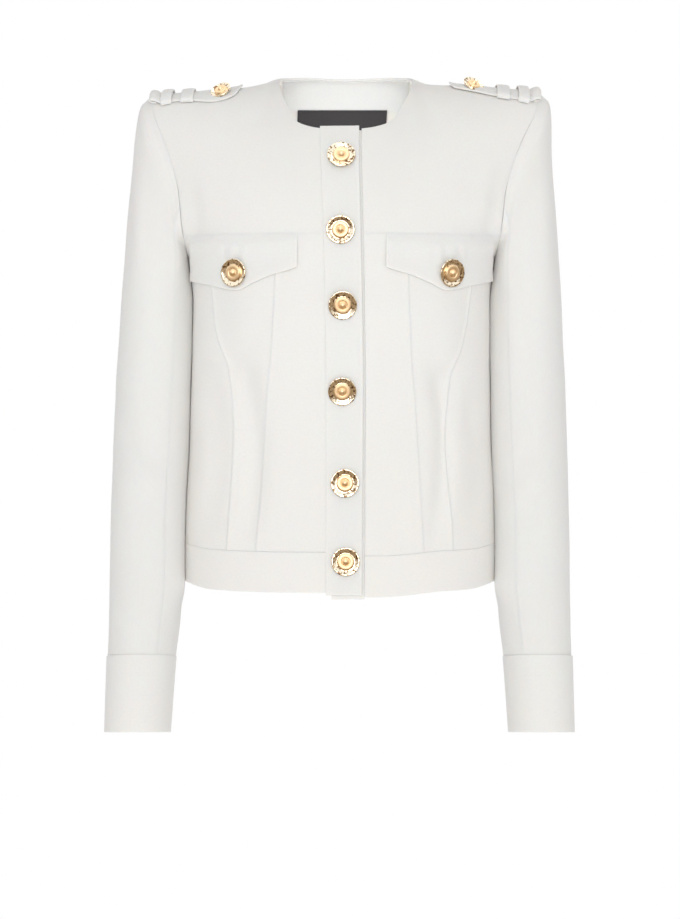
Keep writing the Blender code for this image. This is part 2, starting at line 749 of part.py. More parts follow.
def sleeves():
    """Two-piece set-in sleeves with square heads, and their cuffs."""
    for side, word in SIDES:
        loop = armhole_loop(side)
        rows = with_normals(sleeve_rings(side, [point for point, _ in loop]), side)
        rows[0] = [(point, seam_normal(normal, body_normal))
                   for (point, normal), (_, body_normal) in zip(rows[0], loop)]
        under = [row[FRONT_SLEEVE_SEAM:BACK_SLEEVE_SEAM + 1] for row in rows]
        upper = [row[BACK_SLEEVE_SEAM:] + row[:FRONT_SLEEVE_SEAM + 1] for row in rows]
        cloth("sleeve_upper_" + word, upper)
        cloth("sleeve_under_" + word, under)
        turns = [2 * math.pi * i / AROUND_SLEEVE for i in range(AROUND_SLEEVE)]
        rings = []
        for share in (0.0, 0.5, 1.0):
            height = CUFF_SEAM + (CUFF_END - CUFF_SEAM) * share
            columns = [between(SLEEVE, height, column) for column in SleeveRing._fields[1:]]
            rings.append(sleeve_ring(SleeveRing(height, *columns), side, CUFF_FULLNESS, turns))
        cloth("cuff_" + word, with_normals(rings, side), around=True)


def over_shoulder(x, y):
    """Point and normal of the surface above a place near the shoulder line."""
    face = "front" if y <= 0 else "back"
    low = 0.2
    high = 1.0
    for _ in range(40):
        middle = (low + high) / 2
        if abs(surface(face, x, middle).y) > abs(y):
            low = middle
        else:
            high = middle
    nudge = 1e-4
    rise = (low + high) / 2
    point = surface(face, x, rise)
    across = surface(face, x + nudge, rise) - surface(face, x - nudge, rise)
    up = surface(face, x, rise) - surface(face, x, rise - nudge)
    normal = across.cross(up).normalized()
    if face == "back":
        normal.negate()
    return point, normal


def shoulder_tabs():
    """Pointed tab on each shoulder, its outer end folded back under, held by two loops."""
    for side, word in SIDES:
        middle = []
        for row in SHOULDER_TAB:
            points = []
            for j in range(TAB_COLUMNS + 1):
                y = row.front + (row.back - row.front) * j / TAB_COLUMNS
                point, normal = over_shoulder(side * row.out, y)
                points.append(point + normal * row.lift)
            middle.append(points)
        cloth("shoulder_tab_" + word, sheet_normals(middle, side), lift=CLOTH / 2)
        for loop in SHOULDER_LOOPS:
            strap = []
            for step in LOOP_STEPS:
                row = []
                for share in (0.0, 0.5, 1.0):
                    out = loop.inner + (loop.outer - loop.inner) * share
                    front = between(SHOULDER_TAB[:TAB_TOP_ROWS], out, "front")
                    back = between(SHOULDER_TAB[:TAB_TOP_ROWS], out, "back")
                    along = front + (back - front) * step.across + step.beyond
                    point, normal = over_shoulder(side * out, along)
                    row.append(point + normal * (loop.top_lift * step.share))
                strap.append(row)
            rows = sheet_normals(list(map(list, zip(*strap))), side)
            cloth("shoulder_loop_" + loop.name + "_" + word, rows, lift=TRIM_CLOTH / 2,
                  thickness=TRIM_CLOTH)


def sheet_normals(grid, side):
    """Points of an open sheet whose rows run outwards, with normals on its upper side."""
    last = len(grid) - 1
    end = len(grid[0]) - 1
    rows = []
    for i in range(last + 1):
        row = []
        for j in range(end + 1):
            out = grid[min(i + 1, last)][j] - grid[max(i - 1, 0)][j]
            back = grid[i][min(j + 1, end)] - grid[i][max(j - 1, 0)]
            row.append((grid[i][j], (out.cross(back) * side).normalized()))
        rows.append(row)
    return rows


def neck_inside():
    """Facing inside the back neck, and the plain woven label that hangs below its seam."""
    half = NECK_COLUMNS[1:]
    shares = [-share for share in half] + [0.0] + list(reversed(half))
    rows = []
    for rise in reversed(YOKE_RISES[:FACING_ROWS + 1]):
        width = tip_width("back", rise)
        rows.append([shell("back", NECK_HALF * share / width, rise) for share in shares])
    cloth("back_neck_facing", rows, lift=-CLOTH - LINING_GAP, thickness=FACING_CLOTH)
    rows = []
    for rise in LABEL_RISES:
        width = tip_width("back", rise)
        xs = [LABEL[0] + (LABEL[1] - LABEL[0]) * j / 8 for j in range(9)]
        rows.append([shell("back", x / width, rise) for x in xs])
    cloth("neck_label", rows, colour=BLACK, lift=-CLOTH - LINING_GAP, thickness=FACING_CLOTH)


def button_mesh(name, radius):
    """Turned button: a flat shank, a dished rim and a domed boss, from its profile."""
    profile = (
        (0.00, 0.0052),
        (0.20, 0.0044),
        (0.56, 0.0038),
        (0.61, 0.0024),
        (0.98, 0.0034),
        (1.00, 0.0024),
        (0.80, 0.0010),
        (0.24, 0.0010),
        (0.24, 0.0000),
        (0.00, 0.0000),
    )
    mesh = bpy.data.meshes.new(name)
    bm = bmesh.new()
    verts = [bm.verts.new((share * radius, 0, height)) for share, height in profile]
    for a, b in zip(verts, verts[1:]):
        bm.edges.new((a, b))
    bm.to_mesh(mesh)
    bm.free()
    return mesh


def button(name, place, radius, lift):
    """Button on a point of the surface, turned to face along the normal."""
    point, normal = place
    obj = add_object(name, button_mesh(name, radius), GOLD, roughness=0.25, metallic=1.0)
    obj.location = swayed(point + normal * (lift + SEAM_GAP))
    obj.rotation_euler = normal.to_track_quat("Z", "Y").to_euler()
    turn = obj.modifiers.new("Turn", "SCREW")
    turn.angle = 2 * math.pi
    turn.steps = 15
    turn.render_steps = 15
    turn.axis = "Z"
    turn.use_merge_vertices = True
    turn.merge_threshold = 0.00001
    turn.use_normal_calculate = True
    return obj


def buttons():
    """Six buttons down the placket, one on each pocket flap and one on each shoulder tab."""
    for number, row in enumerate(FRONT_BUTTONS, start=1):
        rise = rise_of(row.height)
        place = shell("front", row.x / tip_width("front", rise), rise)
        button("front_button_%d" % number, place, BUTTON_RADIUS, PLACKET_LIFT)
    for side, word in SIDES:
        out, height = POCKET_BUTTON
        rise = rise_of(height)
        place = shell("front", side * out / tip_width("front", rise), rise)
        button("pocket_button_" + word, place, BUTTON_RADIUS, FLAP_LIFT)
        out, y = SHOULDER_BUTTON
        lift = between(SHOULDER_TAB[:TAB_TOP_ROWS], out, "lift") + CLOTH / 2
        button("shoulder_button_" + word, over_shoulder(side * out, y), SHOULDER_BUTTON_RADIUS, lift)


for old in list(bpy.data.objects):
    bpy.data.objects.remove(old, do_unlink=True)
JACKET = bpy.data.collections.new("cropped_jacket")
bpy.context.scene.collection.children.link(JACKET)
SIDES = ((-1, "right"), (1, "left"))

for side_sign, side_word in SIDES:
    front_yoke("front_yoke_" + side_word, side_sign)
back_yoke()
fronts()
backs()
hem_bands()
plackets()
pocket_flaps()
sleeves()
shoulder_tabs()
neck_inside()
buttons()
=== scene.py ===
import math

import bpy
import numpy as np
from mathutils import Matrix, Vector


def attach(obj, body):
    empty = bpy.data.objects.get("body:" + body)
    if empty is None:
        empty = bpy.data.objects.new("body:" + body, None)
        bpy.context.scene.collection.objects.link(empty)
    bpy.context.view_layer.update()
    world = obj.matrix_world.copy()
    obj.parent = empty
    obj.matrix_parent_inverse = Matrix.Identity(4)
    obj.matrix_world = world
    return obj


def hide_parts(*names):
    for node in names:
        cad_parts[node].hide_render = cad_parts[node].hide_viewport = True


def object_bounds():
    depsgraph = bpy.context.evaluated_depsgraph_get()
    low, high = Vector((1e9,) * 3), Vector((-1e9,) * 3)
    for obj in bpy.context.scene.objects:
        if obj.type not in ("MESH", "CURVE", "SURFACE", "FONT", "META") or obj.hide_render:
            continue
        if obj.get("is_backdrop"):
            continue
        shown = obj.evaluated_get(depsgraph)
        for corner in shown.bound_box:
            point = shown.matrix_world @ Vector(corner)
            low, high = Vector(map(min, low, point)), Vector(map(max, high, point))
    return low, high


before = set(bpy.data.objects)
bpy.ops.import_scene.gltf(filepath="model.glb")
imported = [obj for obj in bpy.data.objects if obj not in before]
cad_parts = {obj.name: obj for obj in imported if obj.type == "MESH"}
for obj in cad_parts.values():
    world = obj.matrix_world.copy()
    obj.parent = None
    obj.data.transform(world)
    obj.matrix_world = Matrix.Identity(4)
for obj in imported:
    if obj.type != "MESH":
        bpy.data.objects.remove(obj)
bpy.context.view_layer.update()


# ---------------------------------------------------------------------------------------------
# Camera. It stands 2.2 m in front of the jacket, at the height of its hem band and 2.9 degrees
# above the middle of the picture, as the photographer's did.
aim = Vector((-0.0058, 0.0, -0.358))
camera_tilt = math.radians(2.9)
camera_distance = 2.2
bpy.ops.object.camera_add(
    location=aim + Vector((0, -math.cos(camera_tilt), math.sin(camera_tilt))) * camera_distance,
    rotation=(math.pi / 2 - camera_tilt, 0, 0))
camera = bpy.context.object
camera.name = "studio_camera"
camera.data.sensor_width = 36
camera.data.lens = 89.7715
bpy.context.scene.camera = camera


# ---------------------------------------------------------------------------------------------
# Cloth. Ivory wool and cotton crepe in a plain weave, piece-dyed, matt, with fine crossing
# threads of slightly uneven thickness. The eye gets a soft dry surface and no gloss.
def to_linear(hex_colour):
    """Linear colour of an sRGB hex value such as ECEBE7."""
    parts = [int(hex_colour[i:i + 2], 16) / 255 for i in (0, 2, 4)]
    return (*[c / 12.92 if c <= 0.04045 else ((c + 0.055) / 1.055) ** 2.4 for c in parts], 1.0)


def add_node(tree, kind, settings=None, **inputs):
    """A node with its settings, and its inputs set to a value or linked to another socket."""
    node = tree.nodes.new(kind)
    for name, value in (settings or {}).items():
        setattr(node, name, value)
    for name, value in inputs.items():
        key = int(name[1:]) if name[0] == "_" and name[1:].isdigit() else name.replace("_", " ")
        if isinstance(value, bpy.types.NodeSocket):
            tree.links.new(value, node.inputs[key])
        else:
            node.inputs[key].default_value = value
    return node


def new_material(name):
    """An empty material and its shader, ready for nodes."""
    material = bpy.data.materials.new(name)
    material.use_nodes = True
    return material, material.node_tree, material.node_tree.nodes["Principled BSDF"]


def woven_cloth(name, light, dark, thread, relief, sheen, through):
    """Plain weave on the piece's own metric UV map.

    thread is the spacing of the threads, and through the share of the light that enters the cloth.
    """
    material, tree, shader = new_material(name)
    uv = add_node(tree, "ShaderNodeUVMap", {"uv_map": "Cut"}).outputs["UV"]
    shape = add_node(tree, "ShaderNodeTexCoord").outputs["Object"]
    wander = add_node(tree, "ShaderNodeTexNoise", {"noise_dimensions": "2D"}, Vector=uv,
                      Scale=0.4 / thread, Detail=2.0)
    crossing = []
    for axis in ("X", "Y"):
        wave = add_node(tree, "ShaderNodeTexWave", {"bands_direction": axis}, Vector=uv,
                        Scale=0.314 / thread, Distortion=1.4, Detail=1.0)
        wave.inputs["Detail Scale"].default_value = 1.5
        crossing.append(wave.outputs["Fac"])
    weave = add_node(tree, "ShaderNodeMath", {"operation": "MULTIPLY"},
                     _0=crossing[0], _1=crossing[1]).outputs[0]
    slub = add_node(tree, "ShaderNodeMath", {"operation": "MULTIPLY_ADD"},
                    _0=wander.outputs["Fac"], _1=0.7, _2=weave).outputs[0]
    tint = add_node(tree, "ShaderNodeMapRange", None, Value=slub, From_Min=0.2, From_Max=1.3)
    patch = add_node(tree, "ShaderNodeTexNoise", None, Vector=shape, Scale=9.0, Detail=3.0)
    mix = add_node(tree, "ShaderNodeMix", {"data_type": "RGBA"}, _0=tint.outputs[0],
                   _6=to_linear(dark), _7=to_linear(light))
    mottle = add_node(tree, "ShaderNodeMix", {"data_type": "RGBA", "blend_type": "SOFT_LIGHT"},
                      _0=0.05, _6=mix.outputs[2], _7=patch.outputs["Color"])
    bump = add_node(tree, "ShaderNodeBump", None, Height=slub, Strength=relief,
                    Distance=thread * 0.35)
    tree.links.new(mottle.outputs[2], shader.inputs["Base Color"])
    tree.links.new(bump.outputs["Normal"], shader.inputs["Normal"])
    shader.inputs["Roughness"].default_value = 0.92
    shader.inputs["Specular IOR Level"].default_value = 0.25
    shader.inputs["Sheen Weight"].default_value = sheen
    shader.inputs["Sheen Roughness"].default_value = 0.5
    shader.inputs["Subsurface Weight"].default_value = through
    shader.inputs["Subsurface Radius"].default_value = (1.0, 0.72, 0.50)
    shader.inputs["Subsurface Scale"].default_value = 0.004
    return material


# Threads are 0.9 mm apart here, about twice the real ones, so that the weave shows at all.
ivory_crepe = woven_cloth("ivory_wool_crepe", "F0EEEB", "E7E5E1", 0.0009, 0.35, 0.26, 0.30)


# ---------------------------------------------------------------------------------------------
# Form of the body. The jacket's outer face is worked out from its girths: an oval section at
# each height, which opens at the armhole and rolls over the padded shoulder. The same sizes as
# the solid part has, in metres, with +X the wearer's left and the front facing -Y.
HEM, BAND_TOP, ARMPIT, YOKE_SEAM = -0.4745, -0.437, -0.165, -0.147
ARMHOLE_FULL, ARMHOLE_FRONT, ARMHOLE_BACK = -0.115, 0.064, 0.066
ROLL_POWER, NECK_ROLL_POWER, NECK_ROLL_RUN = 0.85, 0.50, 0.06
ROUNDNESS, OPENING, OPENING_POWER, ARMHOLE_SOFTNESS = 2.5, 0.53, 1.7, 10.0
NECK_HALF, NECK_BACK, NECK_LEVEL, BACK_SEAM_RISE = 0.062, 0.062, -0.015, 0.17
NECK_RISE, NECK_RISE_RUN, NECK_RISE_FADE = 0.011, 0.058, 0.035
NAPE_RISE, NAPE_START, NAPE_RUN = 0.0155, 0.025, 0.045
NECK_RISE_LOW, NECK_RISE_SPAN = -0.110, 0.095
CLOTH = 0.002

body = {
    "height": (-.4745, -.4370, -.3900, -.3300, -.2900, -.2500, -.2090, -.1650, -.1450, -.1040,
               -.0800, -.0560, -.0300, 0.0),
    "front_edge": (.1510, .1505, .1480, .1445, .1435, .1420, .1414, .1462, .1484, .1525,
                   .1585, .1675, .1780, .1845),
    "back_edge": (.1510, .1505, .1480, .1445, .1435, .1420, .1414, .1462, .1515, .1600,
                  .1660, .1720, .1790, .1845),
    "front": (.1130, .1110, .1070, .1040, .1060, .1110, .1160, .1160, .1155, .1140,
              .1120, .1100, .1080, .1080),
    "back": (.1010, .0980, .0920, .0880, .0900, .0950, .0990, .1010, .1015, .1020,
             .1020, .1010, .1000, .0980),
}
shoulder_line = {
    "out": (.062, .072, .084, .098, .147, .1845),
    "right": (.0020, .0006, -.0026, -.0054, -.0130, -.0160),
    "left": (.0020, -.0004, -.0020, -.0024, -.0080, -.0117),
}
sway = {
    "height": (-.610, -.400, -.300, -.200, -.100, -.062, -.030, 0.0),
    "shift": (-.0063, -.0058, -.0053, -.0045, -.0039, -.0032, -.0016, 0.0),
}


def glide(keys, values, where):
    """Values at places between the keys, along a curve that never overshoots them."""
    keys = np.asarray(keys, float)
    values = np.asarray(values, float)
    extra = (1,) * (values.ndim - 1)
    where = np.clip(where, keys[0], keys[-1])
    step = np.diff(keys).reshape(-1, *extra)
    climb = np.diff(values, axis=0) / step
    slope = np.zeros_like(values)
    same_way = climb[:-1] * climb[1:] > 0
    total = np.where(same_way, climb[:-1] + climb[1:], 1.0)
    slope[1:-1] = np.where(same_way, 2 * climb[:-1] * climb[1:] / total, 0.0)
    slope[0], slope[-1] = climb[0], climb[-1]
    k = np.clip(np.searchsorted(keys, where, side="left") - 1, 0, len(keys) - 2)
    t = ((where - keys[k]) / step[k].reshape(k.shape)).reshape(k.shape + extra)
    return ((1 + 2 * t) * (1 - t) ** 2 * values[k] + t * t * (3 - 2 * t) * values[k + 1]
            + t * (1 - t) ** 2 * step[k] * slope[k] + t * t * (t - 1) * step[k] * slope[k + 1])


def between(table, key, column, where):
    """Smooth values of a table's column at places along its key column."""
    return glide(table[key], table[column], where)


def smooth(t):
    """Share from 0 to 1 that starts and ends gently."""
    t = np.clip(t, 0.0, 1.0)
    return t * t * (3 - 2 * t)


def level_of(rise):
    """Nominal height for a rise of -1 at the hem, 0 at the armpit and 1 on the shoulder line."""
    rise = np.asarray(rise, float)
    return np.where(rise <= 0, ARMPIT + rise * (ARMPIT - HEM),
                    ARMPIT - ARMPIT * np.sin(rise * math.pi / 2))


def rise_of(level):
    """Rise for a nominal height."""
    level = np.asarray(level, float)
    high = np.arcsin(np.clip((level - ARMPIT) / -ARMPIT, 0, 1)) / (math.pi / 2)
    return np.where(level <= ARMPIT, (level - ARMPIT) / (ARMPIT - HEM), high)


def edge_at(face, level):
    """Half width at which the front or back ends, at the side seam or the armhole."""
    return between(body, "height", face + "_edge", level)


def armhole_depth(face, level, share):
    """Distance of the armhole's edge from the shoulder line, round at the bottom."""
    full = ARMHOLE_FRONT if face == "front" else ARMHOLE_BACK
    below = np.clip((ARMHOLE_FULL - level) / (ARMHOLE_FULL - ARMPIT), 0, 1)
    open_share = np.clip(1 - below * below, 0, 1)
    softness = 0.5 + np.minimum(1.0, ARMHOLE_SOFTNESS * (1 - share))
    return np.where(level <= ARMPIT, 0.0, full * open_share ** softness)


def section_depth(face, x, level):
    """Distance of the front or back from the shoulder line, before the shoulder rolls over."""
    share = np.minimum(1.0, np.abs(x) / edge_at(face, level))
    side_depth = armhole_depth(face, level, share)
    opened = side_depth / (ARMHOLE_FRONT if face == "front" else ARMHOLE_BACK)
    power = 1 / ROUNDNESS + OPENING * opened ** OPENING_POWER
    middle_depth = between(body, "height", face, level)
    return side_depth + (middle_depth - side_depth) * (1 - share ** ROUNDNESS) ** power


def roll_power(face, x):
    """Power of the shoulder's roll, lower near the back neck, where it is flatter."""
    if face == "front":
        return np.full_like(x, ROLL_POWER)
    near = smooth(1 - (np.abs(x) - NECK_HALF) / NECK_ROLL_RUN)
    return ROLL_POWER - (ROLL_POWER - NECK_ROLL_POWER) * near


def neck_cut(x, rise):
    """Rise on the back for a share of the way up to the edge of the neck opening."""
    inside = (rise > BACK_SEAM_RISE) & (np.abs(x) < NECK_HALF)
    out = np.minimum(np.abs(x) / NECK_HALF, 1.0)
    edge_depth = NECK_BACK * (1 - out ** ROUNDNESS) ** (1 / ROUNDNESS)
    share = edge_depth / section_depth("back", x, np.full_like(x, NECK_LEVEL))
    end = np.arccos(np.clip(share, 0, 1) ** (1 / roll_power("back", x))) / (math.pi / 2)
    cut = BACK_SEAM_RISE + (rise - BACK_SEAM_RISE) * (end - BACK_SEAM_RISE) / (1 - BACK_SEAM_RISE)
    return np.where(inside, cut, rise)


def surface(face, x, rise):
    """Points of the outer face at distances across and rises."""
    x, rise = np.broadcast_arrays(np.asarray(x, float), np.asarray(rise, float))
    if face == "back":
        rise = neck_cut(x, rise)
    level = level_of(rise)
    depth = section_depth(face, x, level)
    up = np.maximum(rise, 0.0)
    roll = np.maximum(0.0, np.cos(up * math.pi / 2)) ** roll_power(face, x)
    depth = depth * np.where(rise > 0, roll, 1.0)
    climb = np.zeros_like(x)
    if face == "back":
        climb = NECK_RISE * np.sin(math.pi / 2 * np.minimum(1.0, depth / NECK_RISE_RUN))
        climb = climb + NAPE_RISE * smooth((depth - NAPE_START) / NAPE_RUN) ** 2
        climb = climb * smooth(1 - (np.abs(x) - NECK_HALF) / NECK_RISE_FADE)
        climb = climb * smooth((level - NECK_RISE_LOW) / NECK_RISE_SPAN)
    height = np.where(x >= 0, between(shoulder_line, "out", "left", np.abs(x)),
                      between(shoulder_line, "out", "right", np.abs(x)))
    level = level + np.where(rise > 0, height * up ** 3 + climb, 0.0)
    return np.stack([x, -depth if face == "front" else depth, level], axis=-1)


def skin(face, share, rise):
    """Points and outward normals at shares of the half width and rises."""
    nudge, step = 1e-4, 0.01
    share, rise = np.broadcast_arrays(np.asarray(share, float), np.asarray(rise, float))

    def at(part, height):
        return surface(face, part * edge_at(face, level_of(height)), height)

    across = at(np.minimum(1, share + nudge), rise) - at(np.maximum(-1, share - nudge), rise)
    up = at(share, np.minimum(1, rise + step)) - at(share, rise - step)
    normal = np.cross(across, up) * (-1 if face == "back" else 1)
    normal /= np.linalg.norm(normal, axis=-1, keepdims=True)
    return at(share, rise), normal


# How the cloth hangs on the figure: it leans a little to the wearer's right as it goes down, the
# left front hangs a few millimetres longer beside the placket, and the hem lifts at the sides.
def hang(points, body_cloth=True):
    """Points moved to where the hanging cloth has them; sleeves only lean."""
    x, y, z = points[..., 0], points[..., 1], points[..., 2]
    long_front = smooth((x - 0.0205) / 0.003) * smooth((0.100 - x) / 0.062) * (y < 0)
    long_front = long_front * smooth((-0.34 - z) / 0.13)
    side_lift = smooth((np.abs(x) - 0.118) / 0.033) * smooth((-0.40 - z) / 0.07)
    moved = points.copy()
    moved[..., 0] += between(sway, "height", "shift", z)
    if body_cloth:
        moved[..., 2] += -0.0042 * long_front + 0.0042 * side_lift
    return moved


# Creases are set where the photograph has them, and mirrored to the back and sides where
# a real jacket has the same strain. Each runs from one point to another, on one face, with the
# width of its shoulders and its height: below zero it is a trough.
creases = []


def crease(face, start, end, width, height, mirrored=True):
    """A soft ridge or trough from one (x, z) to another, on both sides unless it says not."""
    for side in ((-1, 1) if mirrored else (1,)):
        creases.append((face, (side * start[0], start[1]), (side * end[0], end[1]), width, height))


crease("front", (.1165, -.196), (.1040, -.286), .0100, -.0016)     # strain under the flap
crease("front", (.1060, -.262), (.0880, -.300), .0110, -.0026)     # fold under the bust
crease("front", (.0890, -.262), (.0860, -.430), .0105, -.0058)     # hollow between the seams
crease("front", (.1300, -.262), (.0720, -.276), .0120, -.0030)     # hollow under the bust
crease("front", (.1180, -.285), (.1230, -.420), .0120, -.0028)
crease("front", (-.0965, -.275), (-.0950, -.410), .0100, -.0036, mirrored=False)
crease("front", (.1000, -.300), (.0995, -.425), .0050, .0012)
crease("front", (.0700, -.205), (.0780, -.250), .0120, -.0010)
crease("front", (.1290, -.250), (.1180, -.330), .0100, -.0012)
crease("front", (.1330, -.300), (.1360, -.420), .0080, .0010)
crease("front", (.1420, -.100), (.1340, -.150), .0085, -.0018)     # break in front of the arm
crease("front", (.1350, -.075), (.1260, -.135), .0090, .0010)
crease("front", (.0640, -.012), (.0900, -.052), .0080, -.0010)     # hollow beside the neck
crease("front", (.0500, -.395), (.0470, -.436), .0100, -.0008)
crease("front", (.0300, -.110), (.0420, -.190), .0140, .0007)
crease("back", (.1380, -.085), (.1180, -.170), .0100, -.0020)      # across the shoulder blades
crease("back", (.1240, -.075), (.1060, -.150), .0110, .0012)
crease("back", (.0400, -.262), (.0920, -.292), .0100, -.0016)      # small of the back
crease("back", (.0300, -.290), (.1000, -.312), .0090, .0011)
crease("back", (.0250, -.322), (.0900, -.340), .0100, -.0010)
crease("back", (.0950, -.350), (.0850, -.430), .0100, -.0010)
crease("back", (0, -.060), (0, -.120), .0200, -.0008, mirrored=False)


def crease_lift(face, points):
    """How far the creases raise each point."""
    x, z = points[..., 0], points[..., 2]
    lift = np.zeros_like(x)
    for where, start, end, width, height in creases:
        if where != face:
            continue
        run = np.array(end) - np.array(start)
        length = np.linalg.norm(run)
        run = run / length
        along = (x - start[0]) * run[0] + (z - start[1]) * run[1]
        off = (x - start[0]) * -run[1] + (z - start[1]) * run[0]
        bow = 0.06 * length * np.sin(math.pi * np.clip(along / length, 0, 1))
        fade = smooth((along + 0.15 * length) / (0.45 * length))
        fade = fade * smooth((1.15 * length - along) / (0.45 * length))
        lift = lift + height * np.exp(-((off - bow) / width) ** 2) * fade
    return lift


# Slow unevenness of hanging cloth, from a few long waves, the same on each run.
def ripple(points, size):
    """A slow swell over the whole garment, of about size metres."""
    x, y, z = points[..., 0], points[..., 1], points[..., 2]
    swell = (np.sin(31 * x + 17 * z + 1.3) * np.sin(23 * z - 19 * y + .4)
             + 0.7 * np.sin(57 * x - 41 * y + 2.1) * np.sin(37 * z + 11 * x)
             + 0.5 * np.sin(83 * z + 61 * x + 29 * y))
    return size * swell / 2.2


def fine_steps(length, mesh, edge=(0.0, .0005, .0011, .0019, .0030, .0046)):
    """Shares along a piece, close together beside its two edges and mesh apart between."""
    edge = [e for e in edge if e < length * 0.45]
    count = max(2, int(round((length - 2 * edge[-1]) / mesh)))
    inner = np.linspace(edge[-1], length - edge[-1], count + 1)[1:-1]
    return np.array(edge + list(inner) + [length - e for e in reversed(edge)]) / length


def spans(points, axis):
    """Distance along the rows or columns of a grid of points from its start."""
    step = np.linalg.norm(np.diff(points, axis=axis), axis=-1)
    zero = np.zeros_like(np.take(step, [0], axis=axis))
    return np.concatenate([zero, np.cumsum(step, axis=axis)], axis=axis)


def worn(face, share, rise):
    """Points and normals of the outer face as it is worn, with its creases and slow swell."""
    points, normals = skin(face, share, rise)
    lift = crease_lift(face, points) + ripple(points, 0.0006)
    return points + normals * lift[..., None], normals


def cloth_piece(name, points, normals, thickness=CLOTH, lift=0.0, edges=(1, 1, 1, 1), bead=0.0010,
                rim=0.86, around=False, material=ivory_crepe, body_cloth=True):
    """A wall of cloth over a grid of points on its outer face, as one piece that rides on the body.

    The grid starts as a plane and is shaped point by point. Near its edges, within bead of them,
    the wall thins to rim of its thickness, as a pressed seam or a turned edge does. edges says how
    much so at the first column, last column, first row and last row.
    """
    rows, columns = points.shape[:2]
    across, up = spans(points, 1), spans(points, 0)
    place = hang(points + normals * (lift - thickness / 2), body_cloth)
    bpy.ops.object.select_all(action="DESELECT")
    bpy.ops.mesh.primitive_grid_add(x_subdivisions=columns - 1, y_subdivisions=rows - 1, size=1,
                                    calc_uvs=False)
    piece = bpy.context.object
    mesh = piece.data
    piece.name = mesh.name = name
    mesh.vertices.foreach_set("co", place.reshape(-1).astype(np.float32))
    corner = np.zeros(len(mesh.loops), np.int32)
    mesh.loops.foreach_get("vertex_index", corner)
    cut = np.stack([across - across[:, columns // 2:columns // 2 + 1], up], -1).reshape(-1, 2)
    cut = cut[corner].reshape(-1).astype(np.float32)
    mesh.uv_layers.new(name="Cut").data.foreach_set("uv", cut)
    full = np.ones(across.shape)
    for distance, strength in zip((across, across[:, -1:] - across, up, up[-1:] - up), edges):
        near = np.clip(distance / bead, 0, 1)
        rolled = rim + (1 - rim) * np.sqrt(1 - (1 - near) ** 2)
        full = np.minimum(full, 1 - strength * (1 - rolled))
    wall_share = piece.vertex_groups.new(name="wall")
    steps = np.round(full, 2).reshape(-1)
    for weight in np.unique(steps):
        wall_share.add(np.nonzero(steps == weight)[0].tolist(), float(weight), "REPLACE")
    first = mesh.polygons[0]
    if first.normal.dot(Vector(normals.reshape(-1, 3)[first.vertices[0]])) < 0:
        mesh.flip_normals()
    if around:
        bpy.ops.object.mode_set(mode="EDIT")
        bpy.ops.mesh.select_all(action="SELECT")
        bpy.ops.mesh.remove_doubles(threshold=0.00001)
        bpy.ops.object.mode_set(mode="OBJECT")
    wall = piece.modifiers.new("Wall", "SOLIDIFY")
    wall.thickness = thickness
    wall.offset = 0
    wall.vertex_group = "wall"
    bpy.ops.object.modifier_apply(modifier="Wall")
    bpy.ops.object.shade_smooth_by_angle(angle=math.radians(50))
    mesh.materials.append(material)
    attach(piece, "root")
    return piece


SIDES = ((-1, "right"), (1, "left"))
MESH = 0.0032


# ---------------------------------------------------------------------------------------------
# Fronts and back below the yokes. Each front is a centre front, a shaped panel and a side front,
# joined by two princess seams pressed open; the back is a centre and two sides. Self cloth over
# interfacing, machine-seamed, so that each join shows as a soft line.
placket = {
    "height": (-.4770, -.3890, -.2980, -.2070, -.1350, -.0470),
    "right": (-.0127, -.0128, -.0133, -.0148, -.0171, -.0216),
    "left": (.0202, .0205, .0206, .0188, .0170, .0143),
}
shaped_seams = {
    "height": (-.437, -.372, -.330, -.295, -.260, -.223, -.190, -.120),
    "inner": (.0780, .0735, .0710, .0682, .0648, .0628, .0612, .0600),
    "outer": (.1050, .1017, .0998, .1020, .1105, .1185, .1210, .1220),
    "back": (.0640, .0560, .0530, .0550, .0600, .0680, .0770, .0950),
}
FREE_EDGE_GAP = 0.0024
SEAM_LINE_AWAY, SEAM_LINE_WIDTH = 0.0021, 0.0014
BACK_WIDTH, BACK_LENGTH = 0.135, 0.315


def placket_edge(column):
    """x of an edge of the button placket, as a function of height."""
    return lambda level: between(placket, "height", column, level)


def left_front_edge(level):
    """x at which the left front starts, beyond the placket's free edge."""
    return between(placket, "height", "left", level) + FREE_EDGE_GAP


def shaped_seam(column, side):
    """x of a shaped seam on one side, as a function of height."""
    return lambda level: side * between(shaped_seams, "height", column, level)


def side_edge(face, side):
    """x of the side seam and armhole, as a function of height."""
    return lambda level: side * edge_at(face, level)


def front_start(side):
    """Edge of a front next to the placket."""
    return left_front_edge if side > 0 else placket_edge("right")


def turn_of(x, edge):
    """Turn round the oval section at a distance across."""
    return np.copysign(np.arcsin(np.minimum(1.0, np.abs(x) / edge) ** (ROUNDNESS / 2)), x)


def strip(face, start, end, levels, parts):
    """Shares and rises of a strip between two seams, in even turns round the section."""
    edge = edge_at(face, levels)
    first, last = turn_of(start(levels), edge), turn_of(end(levels), edge)
    turn = first[:, None] + (last - first)[:, None] * parts[None, :]
    share = np.copysign(np.abs(np.sin(turn)) ** (2 / ROUNDNESS), turn)
    return share, np.repeat(rise_of(levels)[:, None], len(parts), axis=1)


def panel_levels(top):
    """Heights of a panel's rows, close at its seams and round the bottom of the armhole."""
    low = BAND_TOP + (ARMPIT - BAND_TOP) * fine_steps(ARMPIT - BAND_TOP, MESH)
    low = low[:-5]
    high = ARMPIT + (top - ARMPIT) * np.linspace(0, 1, 15) ** 2
    return np.concatenate([low, high[high > low[-1]]])


